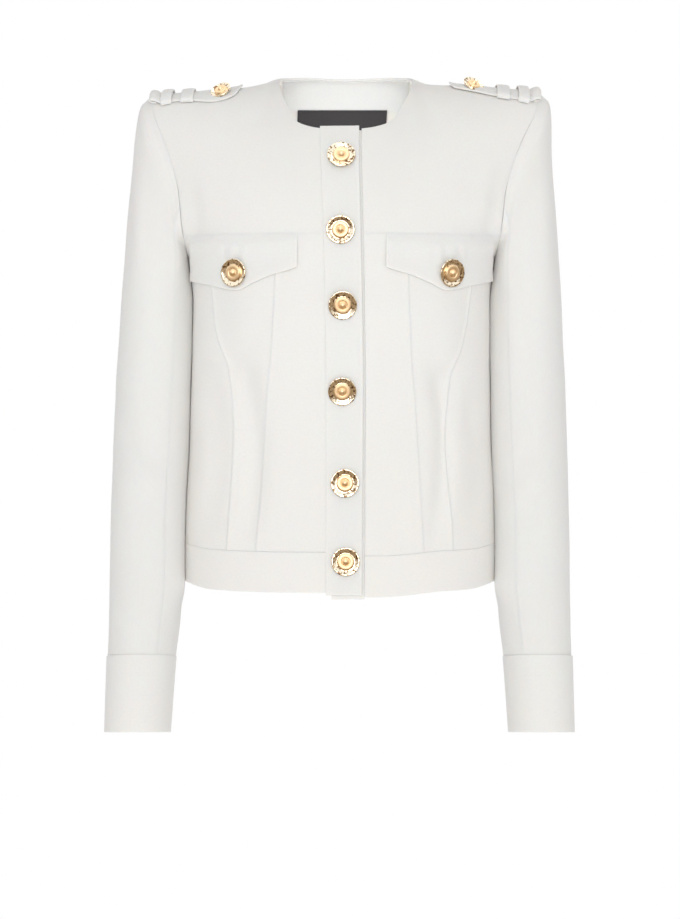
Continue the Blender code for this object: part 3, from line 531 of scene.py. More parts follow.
def ridge_beside(points, normals, column, height):
    """Points with the raised line of a seam that is pressed to one side and stitched down."""
    distance = np.abs(spans(points, 1) - spans(points, 1)[:, column:][:, :1])
    line = height * np.exp(-((distance - SEAM_LINE_AWAY) / SEAM_LINE_WIDTH) ** 2)
    return points + normals * line[..., None]


for side, word in SIDES:
    levels = panel_levels(YOKE_SEAM)
    for part, start, end, width, seam_line in (
            ("centre_front", front_start(side), shaped_seam("inner", side), 0.056, 0.0003),
            ("front_panel", shaped_seam("inner", side), shaped_seam("outer", side), 0.046, 0.0009),
            ("side_front", shaped_seam("outer", side), side_edge("front", side), 0.078, None)):
        parts = fine_steps(width, MESH)
        points, normals = worn("front", *strip("front", start, end, levels, parts))
        if seam_line:
            points = ridge_beside(points, normals, -1, seam_line)
        piece = cloth_piece(part + "_cloth_" + word, points, normals, edges=(0.5, 0.5, 0.4, 0.1))
        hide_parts(part + "_" + word)

levels = panel_levels(float(level_of(BACK_SEAM_RISE)))
parts = fine_steps(BACK_WIDTH, MESH)
for name, node, start, end, seam_line in (
        ("centre_back_cloth", "centre_back", shaped_seam("back", -1), shaped_seam("back", 1), None),
        ("side_back_cloth_right", "side_back_right", shaped_seam("back", -1), side_edge("back", -1),
         0.0006),
        ("side_back_cloth_left", "side_back_left", shaped_seam("back", 1), side_edge("back", 1),
         0.0006)):
    points, normals = worn("back", *strip("back", start, end, levels, parts))
    if seam_line:
        points = ridge_beside(points, normals, 0, seam_line)
    piece = cloth_piece(name, points, normals, edges=(0.7, 0.7, 0.5, 0.3))
    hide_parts(node)


# ---------------------------------------------------------------------------------------------
# Yokes. The front yokes run from the seam over the pockets to the round neckline and the shoulder
# seams, the back yoke from armhole to armhole. Two layers of self cloth, turned at the neck.
neckline = {
    "out": (.0100, .0240, .0360, .0445, .0505, .0550, .0585, .0610, .0620),
    "height": (-.0505, -.0490, -.0460, -.0415, -.0315, -.0225, -.0160, -.0085, 0.0),
}
yoke_rises = (1.0, 0.91, 0.83, 0.75, 0.64, 0.52, 0.40, 0.28, 0.17)
NECK_EDGE_SHARE = 5 / 13
armhole_rises = np.array(yoke_rises + (float(rise_of(YOKE_SEAM)), 0.0366, 0.0120, 0.0))


def front_yoke_places(side):
    """Shares and rises of a front yoke, spanned between its four edges."""
    start = front_start(side)
    seam_rise = float(rise_of(YOKE_SEAM))
    across = fine_steps(0.19, 0.0026)
    up = fine_steps(0.135, 0.0028)
    seam_x = np.array([float(start(YOKE_SEAM)), side * 0.0603, side * 0.1208,
                       side * float(edge_at("front", YOKE_SEAM))])
    seam_edge = float(edge_at("front", YOKE_SEAM))
    seam_turn = np.interp(across, (0, 4 / 13, 8 / 13, 1), turn_of(seam_x, seam_edge))
    low = np.stack([np.copysign(np.abs(np.sin(seam_turn)) ** (2 / ROUNDNESS), seam_turn),
                    np.full(len(across), seam_rise)], -1)
    corner = float(start(-0.050))
    tip = float(edge_at("front", 0.0))
    shares = np.array((0, .34, .64, .85, .955, 1))
    top_x = np.interp(across, np.append(np.arange(6) / 13, 1.0),
                      np.append(corner + (side * NECK_HALF - corner) * shares, side * tip))
    inside = across < NECK_EDGE_SHARE
    top_rise = np.where(inside, rise_of(between(neckline, "out", "height", np.abs(top_x))), 1.0)
    high = np.stack([top_x / edge_at("front", level_of(top_rise)), top_rise], -1)
    left_rise = seam_rise + (high[0, 1] - seam_rise) * up
    left_level = level_of(left_rise)
    left = np.stack([start(left_level) / edge_at("front", left_level), left_rise], -1)
    right_rise = np.interp(up * 9, np.arange(10), armhole_rises[9::-1])
    right = np.stack([np.full(len(up), float(side)), right_rise], -1)
    u, v = across[None, :, None], up[:, None, None]
    ruled = low[None] * (1 - v) + high[None] * v + left[:, None] * (1 - u) + right[:, None] * u
    ends = ((low[0] * (1 - v) + high[0] * v) * (1 - u) + (low[-1] * (1 - v) + high[-1] * v) * u)
    place = ruled - ends
    return place[..., 0], np.clip(place[..., 1], 0, 1)


for side, word in SIDES:
    points, normals = worn("front", *front_yoke_places(side))
    piece = cloth_piece("front_yoke_cloth_" + word, points, normals, edges=(1, 0.3, 0.1, 2.5))
    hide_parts("front_yoke_" + word)

half_turn = np.linspace(0, math.pi / 2, 26)
inside = np.sin(half_turn) ** 0.8
outside = fine_steps(0.10, MESH)[1:]
rises = BACK_SEAM_RISE + (1 - BACK_SEAM_RISE) * fine_steps(0.13, 0.0028)
neck_share = NECK_HALF / edge_at("back", level_of(rises))[:, None]
half = np.concatenate([neck_share * inside[None, :],
                       neck_share + (1 - neck_share) * outside[None, :]], axis=1)
share = np.concatenate([-half[:, :0:-1], half], axis=1)
points, normals = worn("back", share, rises[:, None])
piece = cloth_piece("back_yoke_cloth", points, normals, edges=(0.3, 0.3, 1, 2.5))
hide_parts("back_yoke")


# ---------------------------------------------------------------------------------------------
# Hem band. A straight double band of the same cloth, 38 mm deep, seamed to the panels and turned
# at its lower edge, in two fronts and a back.
BAND_CLOTH, BAND_DEPTH = 0.0024, 0.038
levels = HEM + (BAND_TOP - HEM) * fine_steps(BAND_TOP - HEM, MESH)
for word, face, start, end, length, above in (
        ("right", "front", front_start(-1), side_edge("front", -1), 0.18, "centre_front_right"),
        ("left", "front", front_start(1), side_edge("front", 1), 0.18, "centre_front_left"),
        ("back", "back", side_edge("back", -1), side_edge("back", 1), 0.40, "centre_back")):
    parts = fine_steps(length, MESH)
    points, normals = worn(face, *strip(face, start, end, levels, parts))
    piece = cloth_piece("hem_band_cloth_" + word, points, normals, thickness=BAND_CLOTH,
                        edges=(1, 1, 1, 3))
    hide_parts("hem_band_" + word)


# ---------------------------------------------------------------------------------------------
# Plackets. The right front's buttoning strip lies over the left front's; both are self cloth
# folded double and edge-stitched, with square ends at the neck and a little past the hem.
OVERLAP_LIFT = 0.0014


def placket_strip(start, end, bottom, top, width):
    """Points and normals of a straight strip down the front."""
    levels = bottom + (top - bottom) * fine_steps(top - bottom, MESH)
    return worn("front", *strip("front", start, end, levels, fine_steps(width, 0.0022)))


points, normals = placket_strip(placket_edge("right"), placket_edge("left"), -.4765, -.0480, 0.034)
points = ridge_beside(points, normals, -1, 0.0003)
piece = cloth_piece("button_placket_cloth", points, normals, lift=OVERLAP_LIFT, rim=0.40,
                    edges=(0.5, 1, 1, 1))
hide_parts("button_placket")


def under_placket_start(level):
    """x of the hidden edge of the under placket."""
    return placket_edge("right")(level) + 0.005


points, normals = placket_strip(under_placket_start, left_front_edge, -.4805, -.0510, 0.030)
piece = cloth_piece("under_placket_cloth", points, normals, lift=-OVERLAP_LIFT, thickness=0.0016,
                    body_cloth=False)
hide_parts("under_placket")


# ---------------------------------------------------------------------------------------------
# Pocket flaps. Sewn into the yoke seam, cut with a blunt point, faced and turned, and held down
# by a button. The strain round the button leaves short upright puckers above it.
flap = {
    "out": (.0400, .0440, .0640, .0820, .0930, .0985, .1060, .1200, .1400),
    "bottom": (-.1775, -.1790, -.1848, -.1925, -.1977, -.1980, -.1966, -.1929, -.1884),
}
FLAP_TOP, FLAP_LIFT = -0.1468, 0.0024
# Distance across, width and height of each pucker.
flap_puckers = ((.0890, .0018, .0011), (.0935, .0017, -.0010), (.1000, .0018, .0009),
                (.1060, .0017, -.0010), (.1105, .0018, .0011))
for side, word in SIDES:
    edge = float(edge_at("front", ARMPIT))
    turns = turn_of(np.array((.0400, .1400)), edge)
    parts = fine_steps(0.112, 0.0024)
    outs = np.sin(turns[0] + (turns[1] - turns[0]) * parts) ** (2 / ROUNDNESS) * edge
    up = fine_steps(0.045, 0.0022)
    low = between(flap, "out", "bottom", outs)
    levels = FLAP_TOP + (low[None, :] - FLAP_TOP) * up[:, None]
    share = side * outs[None, :] / edge_at("front", levels)
    points, normals = worn("front", share, rise_of(levels))
    pucker = sum(height * np.exp(-((outs - at) / width) ** 2) for at, width, height in flap_puckers)
    fade = smooth((up - 0.12) / 0.2) * smooth((0.62 - up) / 0.25)
    corner_fold = 0.0009 * smooth((0.060 - outs) / 0.018)[None, :]
    corner_fold = corner_fold * smooth((up - 0.1) / 0.8)[:, None]
    sewn_down = 0.0022 * smooth(1 - up / 0.25)[:, None]
    turned_up = 0.0007 * smooth((up - 0.7) / 0.3)[:, None]
    lift = pucker[None, :] * fade[:, None] + corner_fold
    lift = lift - sewn_down + turned_up
    piece = cloth_piece("pocket_flap_cloth_" + word, points + normals * lift[..., None], normals,
                        lift=FLAP_LIFT, rim=0.45, edges=(0.8, 0.8, 0, 1), bead=0.0016)
    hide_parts("pocket_flap_" + word)


# ---------------------------------------------------------------------------------------------
# Sleeves and cuffs. Two-piece set-in sleeves with square, slightly puffed heads and a forward
# bend at the elbow, then plain turned cuffs 70 mm deep. Self cloth, seamed front and back.
sleeve_cap = {
    "outer": (.1885, .1932, .1960, .1994, .2036, .2072),
    "drop": (.0036, .0075, .0175, .0630, .1120, .1570),
    "inner": (.1482, .1480, .1472, .1456, .1440, .1426),
    "bottom": (-.1685, -.1720, -.1765, -.1835, -.1905, -.1985),
    "half_depth": (.0630, .0630, .0620, .0605, .0590, .0575),
}
sleeve = {
    "height": (-.6110, -.5410, -.4950, -.4500, -.4000, -.3500, -.3000, -.2500, -.2070),
    "inner": (.1592, .1545, .1500, .1498, .1488, .1461, .1441, .1423, .1419),
    "outer": (.2196, .2184, .2172, .2175, .2173, .2161, .2147, .2122, .2098),
    "middle": (-.0630, -.0500, -.0410, -.0310, -.0220, -.0140, -.0080, -.0030, -.0010),
    "half_depth": (.0420, .0435, .0450, .0465, .0480, .0495, .0515, .0540, .0560),
    "tilt": (9.5, 9.5, 9.0, 8.0, 7.0, 5.0, 3.0, 1.0, 0.0),
}
SLEEVE_ROUNDNESS, CUFF_SEAM, CUFF_END, CUFF_FULLNESS = 2.2, -0.541, -0.611, 0.0008
FRONT_SLEEVE_SEAM, BACK_SLEEVE_SEAM = 8 / 24, 17 / 24
BODY_CLEARANCE, EASED_IN = 0.0003, 0.0045
SLEEVE_LENGTH, SLEEVE_GIRTH = 0.49, 0.27


def ring_points(outer, inner, middle, half_depth, turns, lean=0.0):
    """Points of an oval ring between an outer and an inner (x, z), front first."""
    power = 2 / SLEEVE_ROUNDNESS
    along = np.copysign(np.abs(np.cos(turns)) ** power, np.cos(turns))
    across = np.copysign(np.abs(np.sin(turns)) ** power, np.sin(turns))
    x = (outer[0] + inner[0]) / 2 + (outer[0] - inner[0]) / 2 * along
    z = (outer[1] + inner[1]) / 2 + (outer[1] - inner[1]) / 2 * along
    return np.stack([x, middle - half_depth * across, z + half_depth * across * math.tan(lean)], -1)


def armhole_loop(side, turns):
    """Points of the armhole's edge at turns from the tip through the front to the armpit."""
    turn = np.mod(turns, 2 * math.pi) / math.pi * 12
    rise = np.interp(np.where(turn > 12, 24 - turn, turn), np.arange(13), armhole_rises)
    front = surface("front", side * edge_at("front", level_of(rise)), rise)
    back = surface("back", side * edge_at("back", level_of(rise)), rise)
    return np.where((turn <= 12)[:, None], front, back)


def lower_ring(height, turns, fullness=0.0):
    """A ring of the sleeve below its head, or of the cuff."""
    outer, inner, middle, half_depth, tilt = (
        float(between(sleeve, "height", column, height))
        for column in ("outer", "inner", "middle", "half_depth", "tilt"))
    return ring_points((outer + fullness, height), (inner - fullness, height), middle,
                       half_depth + fullness, turns, math.radians(tilt))


def sleeve_rings(side, turns):
    """Rings of a whole sleeve, from the armhole to the cuff seam."""
    flip = np.array((side, 1, 1))
    loop = armhole_loop(side, turns) * flip
    tip = (armhole_loop(side, np.array((0.0,))) * flip)[0]
    pit = (armhole_loop(side, np.array((math.pi,))) * flip)[0]
    stray = loop - ring_points((tip[0], tip[2]), (pit[0], pit[2]), 0.0, ARMHOLE_FRONT, turns)
    rings = [loop]
    for k in range(6):
        outer, drop, inner, bottom, half_depth = (sleeve_cap[column][k] for column in sleeve_cap)
        fade = 1 - float(smooth((k + 1) / 7))
        rings.append(ring_points((outer, tip[2] - drop), (inner, bottom), 0.0, half_depth, turns)
                     + stray * fade)
    for height in sleeve["height"][:0:-1]:
        rings.append(lower_ring(height, turns))
    return np.array(rings) * flip


def body_side(y, level):
    """Distance across of the body's side at a depth, below the armpit."""
    deep = np.where(y <= 0, between(body, "height", "front", level),
                    between(body, "height", "back", level))
    share = np.clip(np.abs(y) / deep, 0, 1)
    return edge_at("front", level) * (1 - share ** ROUNDNESS) ** (1 / ROUNDNESS)


def against_body(points, turns, side):
    """Sleeve's points with its inner side eased onto the side of the body, just clear of it."""
    z = points[..., 2]
    inward = np.clip(-np.cos(turns), 0, 1)[None, :]
    ease = EASED_IN * inward * smooth((-0.143 - z) / 0.022) * smooth((z + 0.500) / 0.030)
    x = points[..., 0] * side
    limit = np.minimum(body_side(points[..., 1], z) + BODY_CLEARANCE, x)
    eased = points.copy()
    eased[..., 0] = np.maximum(limit, x - ease) * side
    return eased


def tube_normals(points, side):
    """Outward normals of a grid whose rows run round a tube and follow each other down it."""
    normal = np.cross(np.gradient(points, axis=1), np.gradient(points, axis=0)) * side
    return normal / np.linalg.norm(normal, axis=-1, keepdims=True)


# Folds of the sleeves: each from one (turn, height) to another, with its width and its height.
# Turns count from the top of the sleeve through its front, a whole turn being 1.
sleeve_folds = (
    ((.10, -.080), (.16, -.190), .0110, .0012), ((.17, -.060), (.22, -.170), .0100, -.0013),
    ((.26, -.120), (.30, -.200), .0080, -.0016), ((.33, -.160), (.30, -.260), .0090, .0012),
    ((.12, -.330), (.34, -.372), .0100, -.0018), ((.16, -.362), (.38, -.395), .0090, .0014),
    ((.20, -.392), (.42, -.430), .0110, -.0016), ((.05, -.290), (.20, -.330), .0130, -.0010),
    ((.08, -.455), (.26, -.480), .0130, -.0011), ((.04, -.500), (.22, -.520), .0100, .0008),
    ((.88, -.090), (.80, -.200), .0120, -.0014), ((.78, -.110), (.72, -.190), .0090, .0013),
    ((.62, -.320), (.86, -.350), .0110, .0012), ((.60, -.360), (.84, -.398), .0110, -.0016),
    ((.64, -.430), (.90, -.452), .0120, -.0010),
)


def fold_lift(points, turns):
    """How far the sleeve's folds raise each point."""
    lift = np.zeros(points.shape[:2])
    around = np.mod(turns / (2 * math.pi), 1.0)[None, :]
    for start, end, width, height in sleeve_folds:
        run = np.array(((end[0] - start[0]) * SLEEVE_GIRTH, end[1] - start[1]))
        length = np.linalg.norm(run)
        run = run / length
        u = (np.mod(around - start[0] + 0.5, 1.0) - 0.5) * SLEEVE_GIRTH
        v = points[..., 2] - start[1]
        along = u * run[0] + v * run[1]
        bow = 0.07 * length * np.sin(math.pi * np.clip(along / length, 0, 1))
        off = u * -run[1] + v * run[0] - bow
        fade = smooth((along + 0.2 * length) / (0.5 * length))
        fade = fade * smooth((1.2 * length - along) / (0.5 * length))
        lift += height * np.exp(-(off / width) ** 2) * fade
    return lift


for side, word in SIDES:
    for part, first, last, width in (
            ("sleeve_under", FRONT_SLEEVE_SEAM, BACK_SLEEVE_SEAM, 0.11),
            ("sleeve_upper", BACK_SLEEVE_SEAM, 1 + FRONT_SLEEVE_SEAM, 0.175)):
        turns = 2 * math.pi * (first + (last - first) * fine_steps(width, MESH))
        rings = sleeve_rings(side, turns)
        gaps = np.linalg.norm(np.diff(rings, axis=0), axis=-1).mean(axis=1)
        keys = np.concatenate([[0], np.cumsum(gaps)])
        down = keys[-1] * fine_steps(float(keys[-1]), MESH)
        points = against_body(glide(keys, rings, down), turns, side)
        normals = tube_normals(points, side)
        settle = smooth(down / 0.02)[:, None]
        free = 1 - np.clip(-np.cos(turns), 0, 1)[None, :]
        lift = (fold_lift(points, turns) + ripple(points, 0.0005)) * settle * free
        piece = cloth_piece(part + "_cloth_" + word, points + normals * lift[..., None], normals,
                            edges=(1, 1, 0.3, 1), body_cloth=False)
        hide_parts(part + "_" + word)
    turns = 2 * math.pi * np.linspace(0, 1, 97)
    rings = np.array([lower_ring(height, turns, CUFF_FULLNESS)
                      for height in CUFF_SEAM + (CUFF_END - CUFF_SEAM) * fine_steps(0.07, MESH)])
    points = rings * np.array((side, 1, 1))
    piece = cloth_piece("cuff_cloth_" + word, points, tube_normals(points, side), around=True,
                        edges=(0, 0, 1, 3), body_cloth=False)
    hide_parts("cuff_" + word)


# ---------------------------------------------------------------------------------------------
# Shoulder tabs and their loops. A blunt-ended strap buttoned near the neck, its outer end folded
# back under itself, through two narrow loops sewn down before and behind it.
tab = {
    "out": (.0975, .0995, .1020, .1120, .1240, .1370, .1470, .1575, .1630, .1700, .1732, .1754,
            .1780, .1806, .1826, .1832, .1820, .1790, .1762),
    "front": (-.0240, -.0320, -.0350, -.0370, -.0385, -.0395, -.0390, -.0380, -.0372, -.0362,
              -.0355, -.0345, -.0335, -.0325, -.0320, -.0320, -.0320, -.0330, -.0340),
    "back": (-.0140, -.0060, .0010, .0040, .0050, .0050, .0050, .0050, .0050, .0050, .0050, .0050,
             .0050, .0050, .0050, .0050, .0050, .0050, .0050),
    "lift": (.0022, .0020, .0018, .0016, .0016, .0016, .0016, .0016, .0017, .0020, .0023, .0038,
             .0054, .0058, .0050, .0036, .0022, .0017, .0016),
}
# The right tab lies further forward between its button and the loops.
tab_forward = (.0010, .0040, .0090, .0122, .0103, .0051, .0018, .0006, .0004, .0003) + (0,) * 9
TAB_TOP_ROWS = 12
shoulder_loops = (("inner", .1415, .1535, .0044), ("outer", .1616, .1718, .0051))
loop_steps = {
    "across": (0, 0, 0, .08, .38, .66, .94, 1, 1, 1),
    "beyond": (-.0014, -.0010, -.0006, 0, 0, 0, 0, .0006, .0010, .0014),
    "share": (.24, .46, .80, 1, 1, 1, 1, .80, .46, .24),
}
TRIM_CLOTH = 0.0014


def over_shoulder(x, y):
    """Points and normals of the surface above places near the shoulder line."""
    x, y = np.broadcast_arrays(np.asarray(x, float), np.asarray(y, float))
    found = []
    for face in ("front", "back"):
        low, high = np.full(x.shape, 0.2), np.ones(x.shape)
        for _ in range(40):
            middle = (low + high) / 2
            outside = np.abs(surface(face, x, middle)[..., 1]) > np.abs(y)
            low, high = np.where(outside, middle, low), np.where(outside, high, middle)
        rise, nudge = (low + high) / 2, 1e-4
        across = surface(face, x + nudge, rise) - surface(face, x - nudge, rise)
        up = surface(face, x, rise) - surface(face, x, rise - nudge)
        normal = np.cross(across, up) * (-1 if face == "back" else 1)
        normal /= np.linalg.norm(normal, axis=-1, keepdims=True)
        found.append((surface(face, x, rise), normal))
    at_front = (y <= 0)[..., None]
    return tuple(np.where(at_front, front, back) for front, back in zip(*found))


def sheet_normals(grid, side):
    """Normals on the upper side of a sheet whose rows run outwards."""
    normal = np.cross(np.gradient(grid, axis=0), np.gradient(grid, axis=1)) * side
    return normal / np.linalg.norm(normal, axis=-1, keepdims=True)


for side, word in SIDES:
    out, front, back, lift = (np.array(tab[column])[:, None] for column in tab)
    front = front - (np.array(tab_forward)[:, None] if side < 0 else 0)
    tab_top = {"out": tab["out"][:TAB_TOP_ROWS], "front": front[:TAB_TOP_ROWS, 0],
               "back": tab["back"][:TAB_TOP_ROWS]}
    across = fine_steps(0.042, 0.0022)
    place, normal = over_shoulder(side * out, front + (back - front) * across[None, :])
    rows = place + normal * lift[..., None]
    gaps = np.linalg.norm(np.diff(rows, axis=0), axis=-1).max(axis=1)
    keys = np.concatenate([[0], np.cumsum(gaps)])
    where = keys[-1] * fine_steps(float(keys[-1]), 0.0020)
    points = glide(keys, rows, where)
    curl = 0.0010 * smooth(1 - where / 0.012)[:, None] * np.abs(2 * across - 1)[None, :] ** 2
    sag = -0.0005 * np.sin(math.pi * across)[None, :] ** 2 * smooth(where / 0.02)[:, None]
    normals = sheet_normals(points, side)
    piece = cloth_piece("shoulder_tab_cloth_" + word, points + normals * (curl + sag)[..., None],
                        normals, lift=CLOTH / 2, bead=0.0016, rim=0.4)
    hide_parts("shoulder_tab_" + word)
    for loop, inner, outer, top_lift in shoulder_loops:
        out = inner + (outer - inner) * fine_steps(outer - inner, 0.0016, (0, .0004, .0010, .0018))
        steps = np.linspace(0, 9, 46)
        run, beyond, share = (glide(np.arange(10), loop_steps[column], steps)[None, :]
                              for column in loop_steps)
        front = between(tab_top, "out", "front", out)[:, None]
        back = between(tab_top, "out", "back", out)[:, None]
        place, normal = over_shoulder(side * out[:, None], front + (back - front) * run + beyond)
        bulge = 0.0004 * np.sin(math.pi * (out - inner) / (outer - inner))[:, None]
        points = place + normal * (top_lift * share + bulge * share)[..., None]
        piece = cloth_piece("shoulder_loop_cloth_%s_%s" % (loop, word), points,
                            sheet_normals(points, side), lift=TRIM_CLOTH / 2, thickness=TRIM_CLOTH,
                            bead=0.0022, rim=0.35)
        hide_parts("shoulder_loop_%s_%s" % (loop, word))


# ---------------------------------------------------------------------------------------------
# Inside of the back neck. A thin facing of the same cloth, sewn under the neck's edge, and below
# its seam a plain black woven label.
label_weave = woven_cloth("black_woven_label", "4E4B4D", "393738", 0.0005, 0.3, 0.03, 0.0)
FACING_CLOTH = 0.001
FACING_LOW, LABEL_HIGH, LABEL_LOW = -0.0178, -0.0160, -0.0410
LABEL_RIGHT, LABEL_LEFT = -0.0467, 0.0417


def back_rise(x, height):
    """Rise on the back at which its surface has a height, at distances across."""
    x, height = np.broadcast_arrays(np.asarray(x, float), np.asarray(height, float))
    low, high = np.zeros(x.shape), np.ones(x.shape)
    for _ in range(40):
        middle = (low + high) / 2
        below = surface("back", x, middle)[..., 2] < height
        low, high = np.where(below, middle, low), np.where(below, high, middle)
    return (low + high) / 2


half = 0.985 * NECK_HALF * np.sin(np.linspace(0, math.pi / 2, 24)) ** 0.85
xs = np.concatenate([-half[:0:-1], half])
low = back_rise(xs, FACING_LOW)
rises = low + (0.995 - low) * fine_steps(0.034, 0.0026)[:, None]
points, normals = worn("back", xs / edge_at("back", level_of(rises)), rises)
piece = cloth_piece("back_neck_facing_cloth", points, normals, lift=-CLOTH - 0.0001,
                    thickness=FACING_CLOTH)
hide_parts("back_neck_facing")

xs = LABEL_RIGHT + (LABEL_LEFT - LABEL_RIGHT) * fine_steps(0.09, 0.0026)
rises = back_rise(xs, LABEL_LOW + (LABEL_HIGH - LABEL_LOW) * fine_steps(0.025, 0.0022)[:, None])
points, normals = worn("back", xs / edge_at("back", level_of(rises)), rises)
piece = cloth_piece("neck_label_weave", points, normals, lift=-CLOTH - FACING_CLOTH - 0.0003,
                    thickness=0.0007, material=label_weave)
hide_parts("neck_label")


# ---------------------------------------------------------------------------------------------
# Buttons. Cast metal on a shank, pale gold: a polished dished rim with a plain hammered relief,
# browned in its hollows, and a matt gilt boss with a ring and a small ball in the middle.
def polished_gold():
    """Polished pale gold, browned where the hammered surface is low."""
    material, tree, shader = new_material("polished_gold_rim")
    shape = add_node(tree, "ShaderNodeTexCoord").outputs["Object"]
    cells = add_node(tree, "ShaderNodeTexVoronoi", {"feature": "SMOOTH_F1"}, Vector=shape,
                     Scale=520.0)
    grain = add_node(tree, "ShaderNodeTexNoise", None, Vector=shape, Scale=900.0, Detail=3.0)
    worn_share = add_node(tree, "ShaderNodeMath", {"operation": "MULTIPLY_ADD"},
                          _0=grain.outputs["Fac"], _1=0.8, _2=cells.outputs["Distance"]).outputs[0]
    spread = add_node(tree, "ShaderNodeMapRange", None, Value=worn_share, From_Min=0.88,
                      From_Max=1.02)
    mix = add_node(tree, "ShaderNodeMix", {"data_type": "RGBA"}, _0=spread.outputs[0],
                   _6=to_linear("F8EBD2"), _7=to_linear("8B6A4A"))
    bump = add_node(tree, "ShaderNodeBump", None, Height=worn_share, Strength=0.25, Distance=0.0001)
    tree.links.new(mix.outputs[2], shader.inputs["Base Color"])
    tree.links.new(bump.outputs["Normal"], shader.inputs["Normal"])
    shader.inputs["Metallic"].default_value = 1.0
    shader.inputs["Roughness"].default_value = 0.14
    return material


def matt_gilt():
    """Matt gilding of the boss."""
    material, tree, shader = new_material("matt_gilt_boss")
    shape = add_node(tree, "ShaderNodeTexCoord").outputs["Object"]
    grain = add_node(tree, "ShaderNodeTexNoise", None, Vector=shape, Scale=1500.0, Detail=2.0)
    bump = add_node(tree, "ShaderNodeBump", None, Height=grain.outputs["Fac"], Strength=0.3,
                    Distance=0.0001)
    tree.links.new(bump.outputs["Normal"], shader.inputs["Normal"])
    shader.inputs["Base Color"].default_value = to_linear("F8DCB4")
    shader.inputs["Metallic"].default_value = 1.0
    shader.inputs["Roughness"].default_value = 0.50
    return material


rim_metal, boss_metal = polished_gold(), matt_gilt()
# Share of the radius and height of the turned profile, from the ball in the middle to the shank.
button_profile = {
    "share": (0.0, .06, .12, .17, .21, .235, .25, .28, .31, .35, .42, .48, .52, .55, .570, .580,
              .590, .605, .66, .74, .83, .90, .95, .98, 1.0, .985, .94, .80, .50, .24, .24, .12,
              0.0),
    "height": (.0064, .0063, .0059, .0054, .0048, .0043, .0040, .0038, .0040, .0043, .0043, .0043,
               .0042, .0040, .0036, .0031, .0027, .0024, .0025, .0028, .0032, .0035, .0036, .0034,
               .0028, .0022, .0017, .0013, .0011, .0010, .0002, .0001, .0001),
}
BOSS_ROWS, RIM_ROWS, TURNS = 16, 24, 72
FRONT_RADIUS, SHOULDER_RADIUS = 0.0130, 0.0102
POCKET_BUTTON_HEIGHT = -0.1822


def button(name, place, normal, radius, lift, number):
    """One button, turned from its profile, with its own hammered rim, facing along the normal."""
    rows = len(button_profile["share"])
    fine = np.linspace(0, rows - 1, (rows - 1) * 2 + 1)
    share = np.interp(fine, np.arange(rows), button_profile["share"])
    height = np.interp(fine, np.arange(rows), button_profile["height"])
    turn = np.linspace(0, 2 * math.pi, TURNS + 1)
    on_rim = smooth((share - 0.64) / 0.06) * smooth((0.97 - share) / 0.05) * (fine < RIM_ROWS)
    chased = smooth(0.35 + 0.9 * np.sin(turn + 1.9 * number))[None, :]
    knock = (np.sin(9 * turn + number) * np.sin(5 * turn + 2.1 * number)
             + 0.8 * np.sin(17 * turn + 1.7 * number))[None, :]
    knock = knock * np.sin(26 * share[:, None] + 3 * turn[None, :] + number)
    up = height[:, None] + 0.00016 * on_rim[:, None] * knock * chased
    points = np.stack([radius * share[:, None] * np.cos(turn)[None, :],
                       radius * share[:, None] * np.sin(turn)[None, :], up], -1)
    bpy.ops.object.select_all(action="DESELECT")
    bpy.ops.mesh.primitive_grid_add(x_subdivisions=TURNS, y_subdivisions=len(fine) - 1, size=1,
                                    calc_uvs=False)
    piece = bpy.context.object
    mesh = piece.data
    piece.name = mesh.name = name
    lean = Vector((0.05 * math.sin(2.3 * number), 0, 0.07 * math.sin(1.3 * number + 0.6)))
    facing = (Vector(normal) + lean).to_track_quat("Z", "Y").to_matrix()
    spot = np.array(place) + np.array(normal) * lift
    turned = points @ np.array(facing).T + hang(spot[None, :])[0]
    mesh.vertices.foreach_set("co", turned.reshape(-1).astype(np.float32))
    mesh.materials.append(rim_metal)
    mesh.materials.append(boss_metal)
    row_of = np.repeat(np.arange(len(fine) - 1) // 2, TURNS)
    mesh.polygons.foreach_set("material_index", (row_of < BOSS_ROWS).astype(np.int32))
    bpy.ops.object.mode_set(mode="EDIT")
    bpy.ops.mesh.select_all(action="SELECT")
    bpy.ops.mesh.remove_doubles(threshold=0.00001)
    bpy.ops.mesh.normals_make_consistent(inside=False)
    bpy.ops.object.mode_set(mode="OBJECT")
    mesh.shade_smooth()
    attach(piece, "root")
    return piece


front_buttons = ((-.0765, -.0012), (-.1443, -.0011), (-.2120, .0011), (-.2903, .0014),
                 (-.3746, .0045), (-.4460, .0051))
for number, (height, x) in enumerate(front_buttons, start=1):
    rise = rise_of(height)
    points, normals = worn("front", x / edge_at("front", height), rise)
    piece = button("front_button_metal_%d" % number, points, normals, FRONT_RADIUS, 0.0010, number)
    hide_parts("front_button_%d" % number)
for side, word, pocket, shoulder in ((-1, "right", 0.0966, (-0.1150, -0.0370)),
                                     (1, "left", 0.0988, (0.1185, -0.0270))):
    share = side * pocket / edge_at("front", POCKET_BUTTON_HEIGHT)
    points, normals = worn("front", share, rise_of(POCKET_BUTTON_HEIGHT))
    piece = button("pocket_button_metal_" + word, points, normals, FRONT_RADIUS, FLAP_LIFT,
                   7 + side)
    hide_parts("pocket_button_" + word)
    points, normals = over_shoulder(*shoulder)
    tip = Vector(normals) + Vector((side * 0.30, -0.42, 0))
    piece = button("shoulder_button_metal_" + word, points, np.array(tip.normalized()),
                   SHOULDER_RADIUS, 0.0022, 11 + side)
    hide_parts("shoulder_button_" + word)


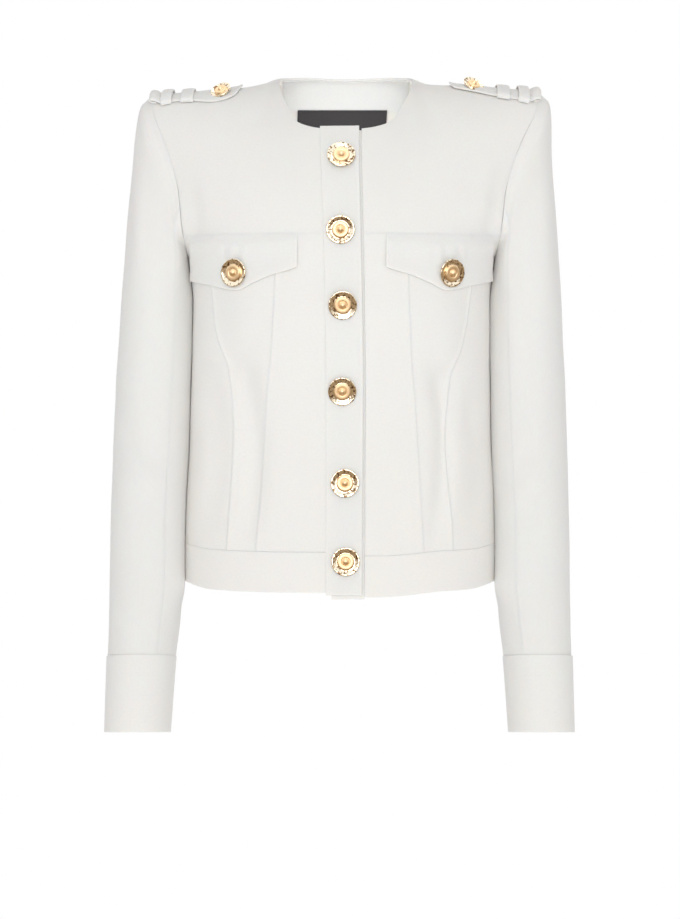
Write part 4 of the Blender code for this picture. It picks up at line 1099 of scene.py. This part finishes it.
# ---------------------------------------------------------------------------------------------
# Studio. Seamless white, evenly lit from the front, above and behind by large soft lights, with a
# small one in the neck. The metal reflects a brown floor below and white above.
def studio_white(name, strength):
    """Plain white of the backdrop, lit so that it shows as paper white."""
    material, tree, shader = new_material(name)
    shader.inputs["Base Color"].default_value = (0, 0, 0, 1)
    shader.inputs["Specular IOR Level"].default_value = 0.0
    shader.inputs["Emission Color"].default_value = (1, 1, 1, 1)
    shader.inputs["Emission Strength"].default_value = strength
    return material


bpy.ops.object.select_all(action="DESELECT")
bpy.ops.mesh.primitive_plane_add(size=24, location=(0, 0, -1.42))
floor = bpy.context.object
floor.name = "studio_floor"
floor.data.materials.append(studio_white("white_floor", 1.0))
floor.visible_glossy = False
floor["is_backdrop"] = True

world = bpy.data.worlds.new("studio_surround")
bpy.context.scene.world = world
world.use_nodes = True
tree = world.node_tree
rays = add_node(tree, "ShaderNodeLightPath").outputs
around_light = add_node(tree, "ShaderNodeBackground", None, Color=(1, 1, 1, 1), Strength=0.48)
toward = add_node(tree, "ShaderNodeSeparateXYZ", None,
                  Vector=add_node(tree, "ShaderNodeTexCoord").outputs["Generated"])
height = add_node(tree, "ShaderNodeMapRange", {"interpolation_type": "SMOOTHSTEP"},
                  Value=toward.outputs["Z"], From_Min=-0.05, From_Max=0.30).outputs[0]
reflected = add_node(tree, "ShaderNodeMix", {"data_type": "RGBA"}, _0=height,
                     _6=to_linear("A59179"), _7=(1.1, 1.1, 1.1, 1))
mirrored = add_node(tree, "ShaderNodeBackground", None, Color=reflected.outputs[2], Strength=1.0)
backdrop = add_node(tree, "ShaderNodeBackground", None, Color=(1, 1, 1, 1), Strength=1.0)
glossy = add_node(tree, "ShaderNodeMixShader", None, _0=rays["Is Glossy Ray"],
                  _1=around_light.outputs[0], _2=mirrored.outputs[0])
mixed = add_node(tree, "ShaderNodeMixShader", None, _0=rays["Is Camera Ray"], _1=glossy.outputs[0],
                 _2=backdrop.outputs[0])
tree.links.new(mixed.outputs[0], tree.nodes["World Output"].inputs["Surface"])
for name, place, aimed, size, power in (
        ("front_soft_light", (-0.05, -3.2, 0.5), (0, 0, -0.3), 1.8, 42),
        ("top_soft_light", (0.2, -0.6, 2.6), (0, 0, -0.3), 2.2, 10),
        ("neck_fill_light", (0, -0.018, -0.075), (0, 0.05, 0.0), 0.10, 0.084),
        ("rear_soft_light", (0.4, 3.2, 0.6), (0, 0, -0.3), 1.8, 32)):
    bpy.ops.object.light_add(type="AREA", location=place)
    lamp = bpy.context.object
    lamp.name = name
    lamp.visible_camera = False
    lamp.data.size = size
    lamp.data.energy = power
    lamp.rotation_euler = (Vector(aimed) - Vector(place)).to_track_quat("-Z", "Y").to_euler()
bpy.context.scene.view_settings.view_transform = "Standard"

low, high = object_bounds()
